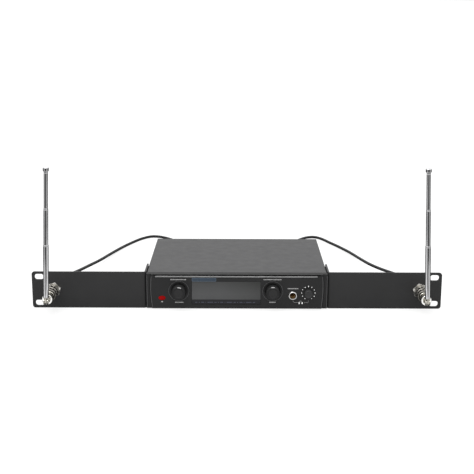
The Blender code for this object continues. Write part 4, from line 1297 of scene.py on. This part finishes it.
def make_output_socket(place):
    """The three-pin output; returns its two screws."""
    outlines = [rounded((-13, -14.5), (13, 14.5), 3), circle((0, 0), 9.4)[::-1]]
    outlines += [circle(spot, 1.6, 24)[::-1] for spot in XLR_SCREWS]
    shell = merged([slab(outlines, 0.3, 2.2, 0.3), lathe(XLR_CUP, soft=0.1)])
    finished("output_shell", shell, "black_plastic", "xlr_socket", place)
    pins = []
    for x, y in arc((0, 0), XLR_PIN_CIRCLE, 90, 330, 2):
        pins.append(moved(lathe(XLR_PIN, 24), at(x, y, 0)))
    finished("output_pins", merged(pins), "gold", place=place)
    return [moved(screw_head(1.9, 0.9), place @ at(x, y, 2.1)) for x, y in XLR_SCREWS]


def make_line_socket(place):
    sleeve = lathe(LINE_SLEEVE, 64, closed=True, soft=0.1)
    finished("line_sleeve", sleeve, "nickel", "line_jack", place)
    finished("line_bore", jack_bore(1), "dark", place=place)
    finished("line_nut", hexagon(11.5, 1.75, 3.3, bore=4.45), "nickel", place=place)


def make_power_inlet(place):
    inlet = lathe(POWER_SHELL, 64)
    finished("power_shell", inlet, "black_plastic", "power_inlet", place)
    pin = lathe(POWER_PIN, 24, soft=0.1)
    finished("power_pin", pin, "tinned_steel", place=place, slot=None)


# Rack ears

SLOT_SPACING, SLOT_PITCH = 465.1, 31.75
SLOT_HALF_WIDTH, SLOT_HALF_HEIGHT, SLOT_CORNER = 5.3, 3.4, 3.1
EAR_CORNER, EAR_BEND = 3.3, 3
EAR_GAP = 0.3


def make_ear(side, sign):
    """A front plate with four rounded ends and slots, bent back into a flange on the box's side."""
    box, tall = EARS[side], EARS[side].high.z
    inner, half = COVER.high.x + EAR_GAP, max(abs(box.low.x), abs(box.high.x))
    inset = inner + EAR_SHEET + EAR_BEND
    outline = [(inset - 0.5, 0), (inset - 0.5, tall)]
    outline += arc((half - EAR_CORNER, tall - EAR_CORNER), EAR_CORNER, 90, 0, 12)
    outline += arc((half - EAR_CORNER, EAR_CORNER), EAR_CORNER, 0, -90, 12)
    plate = upright([sideways(outline, sign)], EAR_FRONT, EAR_BACK)
    holes = []
    for z in (tall / 2 - SLOT_PITCH / 2, tall / 2 + SLOT_PITCH / 2):
        low = (SLOT_SPACING / 2 - SLOT_HALF_WIDTH, z - SLOT_HALF_HEIGHT)
        high = (SLOT_SPACING / 2 + SLOT_HALF_WIDTH, z + SLOT_HALF_HEIGHT)
        holes.append(sideways(rounded(low, high, SLOT_CORNER, 10), sign))
    bulkhead = Box("bulkhead_" + side).middle
    holes.append(circle((bulkhead.x, bulkhead.z), 4.95))
    centre = (inner + EAR_BEND, EAR_FRONT + EAR_BEND)
    bend = [(inset + 1, EAR_BACK), (inset + 1, EAR_FRONT)] + arc(centre, EAR_BEND, 270, 180, 16)
    bend += [(inner, box.high.y), (inner + EAR_SHEET, box.high.y)]
    bend += arc(centre, EAR_BEND - EAR_SHEET, 180, 270, 12)
    flange = slab([sideways(bend, sign)], 0, tall)
    cutters = [upright([hole], EAR_FRONT - 5, EAR_BACK + 5) for hole in holes]
    screws = []
    for y in (EAR_FRONT + 14, EAR_FRONT + 30):
        for z in (10, 33):
            cutters.append(moved(round_bar(1.8, 6, -6), at(sign * inner, y, z, SIDEWAYS)))
            place = at(sign * (inner + EAR_SHEET), y, z, turned(90 * sign, "Y"))
            screws.append(moved(screw_head(3, 1.5), place))
    ear = eased(carved(flange, cutters, [plate]), 0.12)
    finished("ear_sheet_" + side, ear, "black_steel", "rack_ear_" + side)
    finished("ear_screws_" + side, merged(screws), "tinned_steel")


# Assembly

HIDDEN = {
    "dark": ("display_module",),
    "board": ("main_board",),
    "tinned_steel": ("rf_shield", "volume_encoder", "menu_encoder", "level_control"),
    "black_plastic": ("volume_plunger", "menu_plunger"),
}


def connect_lead(side, cord, length):
    """The antenna's collar, and the plugs and collars on the lead's two ends."""
    bulkhead, socket = Box("bulkhead_" + side).middle, Box("rear_socket_" + side).middle
    before_ear = at(bulkhead.x, EAR_FRONT, bulkhead.z, FACING_FRONT)
    scallops = ribs(12, 0.5, 7.15, (10.2, 16.2), (18.3, 24.4))
    node = "antenna_collar_" + side
    # The antenna collar in a darker copy of the nickel plate: painted shade
    make_collar("aerial_collar_" + side, node, before_ear, LONG_COLLAR, scallops, "dull_nickel")
    behind_ear = at(bulkhead.x, EAR_BACK, bulkhead.z, FACING_BACK)
    knurls = ribs(36, 0.22, 7, (4.6, 11))
    on_cord = []
    for end, place in (("rear", at_rear(socket)), ("ear", behind_ear)):
        name, node = f"collar_{end}_{side}", f"lead_collar_{end}_{side}"
        on_cord.append(make_collar(name, node, place, COLLAR, knurls, "nickel"))
        on_cord += make_lead_plug(side, end, place)


def paint_hidden_nodes():
    """The CAD nodes inside the box stay as they are, in better materials."""
    for material, nodes in HIDDEN.items():
        for node in nodes:
            mesh = frame["nodes"][node].data
            mesh.materials.clear()
            mesh.materials.append(MATERIALS[material])


make_camera()
MATERIALS = make_materials()
cords = {side: make_lead(side) for side, _ in SIDES}
bpy.context.scene.view_settings.view_transform = "Standard"
make_sky()
make_softbox()
make_floor()
make_card()

make_cover()
make_base()
make_panel()
make_badge()
make_window()
make_print()
make_knob("volume", 17, 9, volume_mark)
make_knob("menu", 15, 0, menu_mark)
make_level_knob()
make_headphone_socket()
make_rear()
for side, sign in SIDES:
    make_ear(side, sign)
    make_bulkhead(side, sign)
    make_rear_socket(side)
    make_antenna(side)
    connect_lead(side, *cords[side])
paint_hidden_nodes()
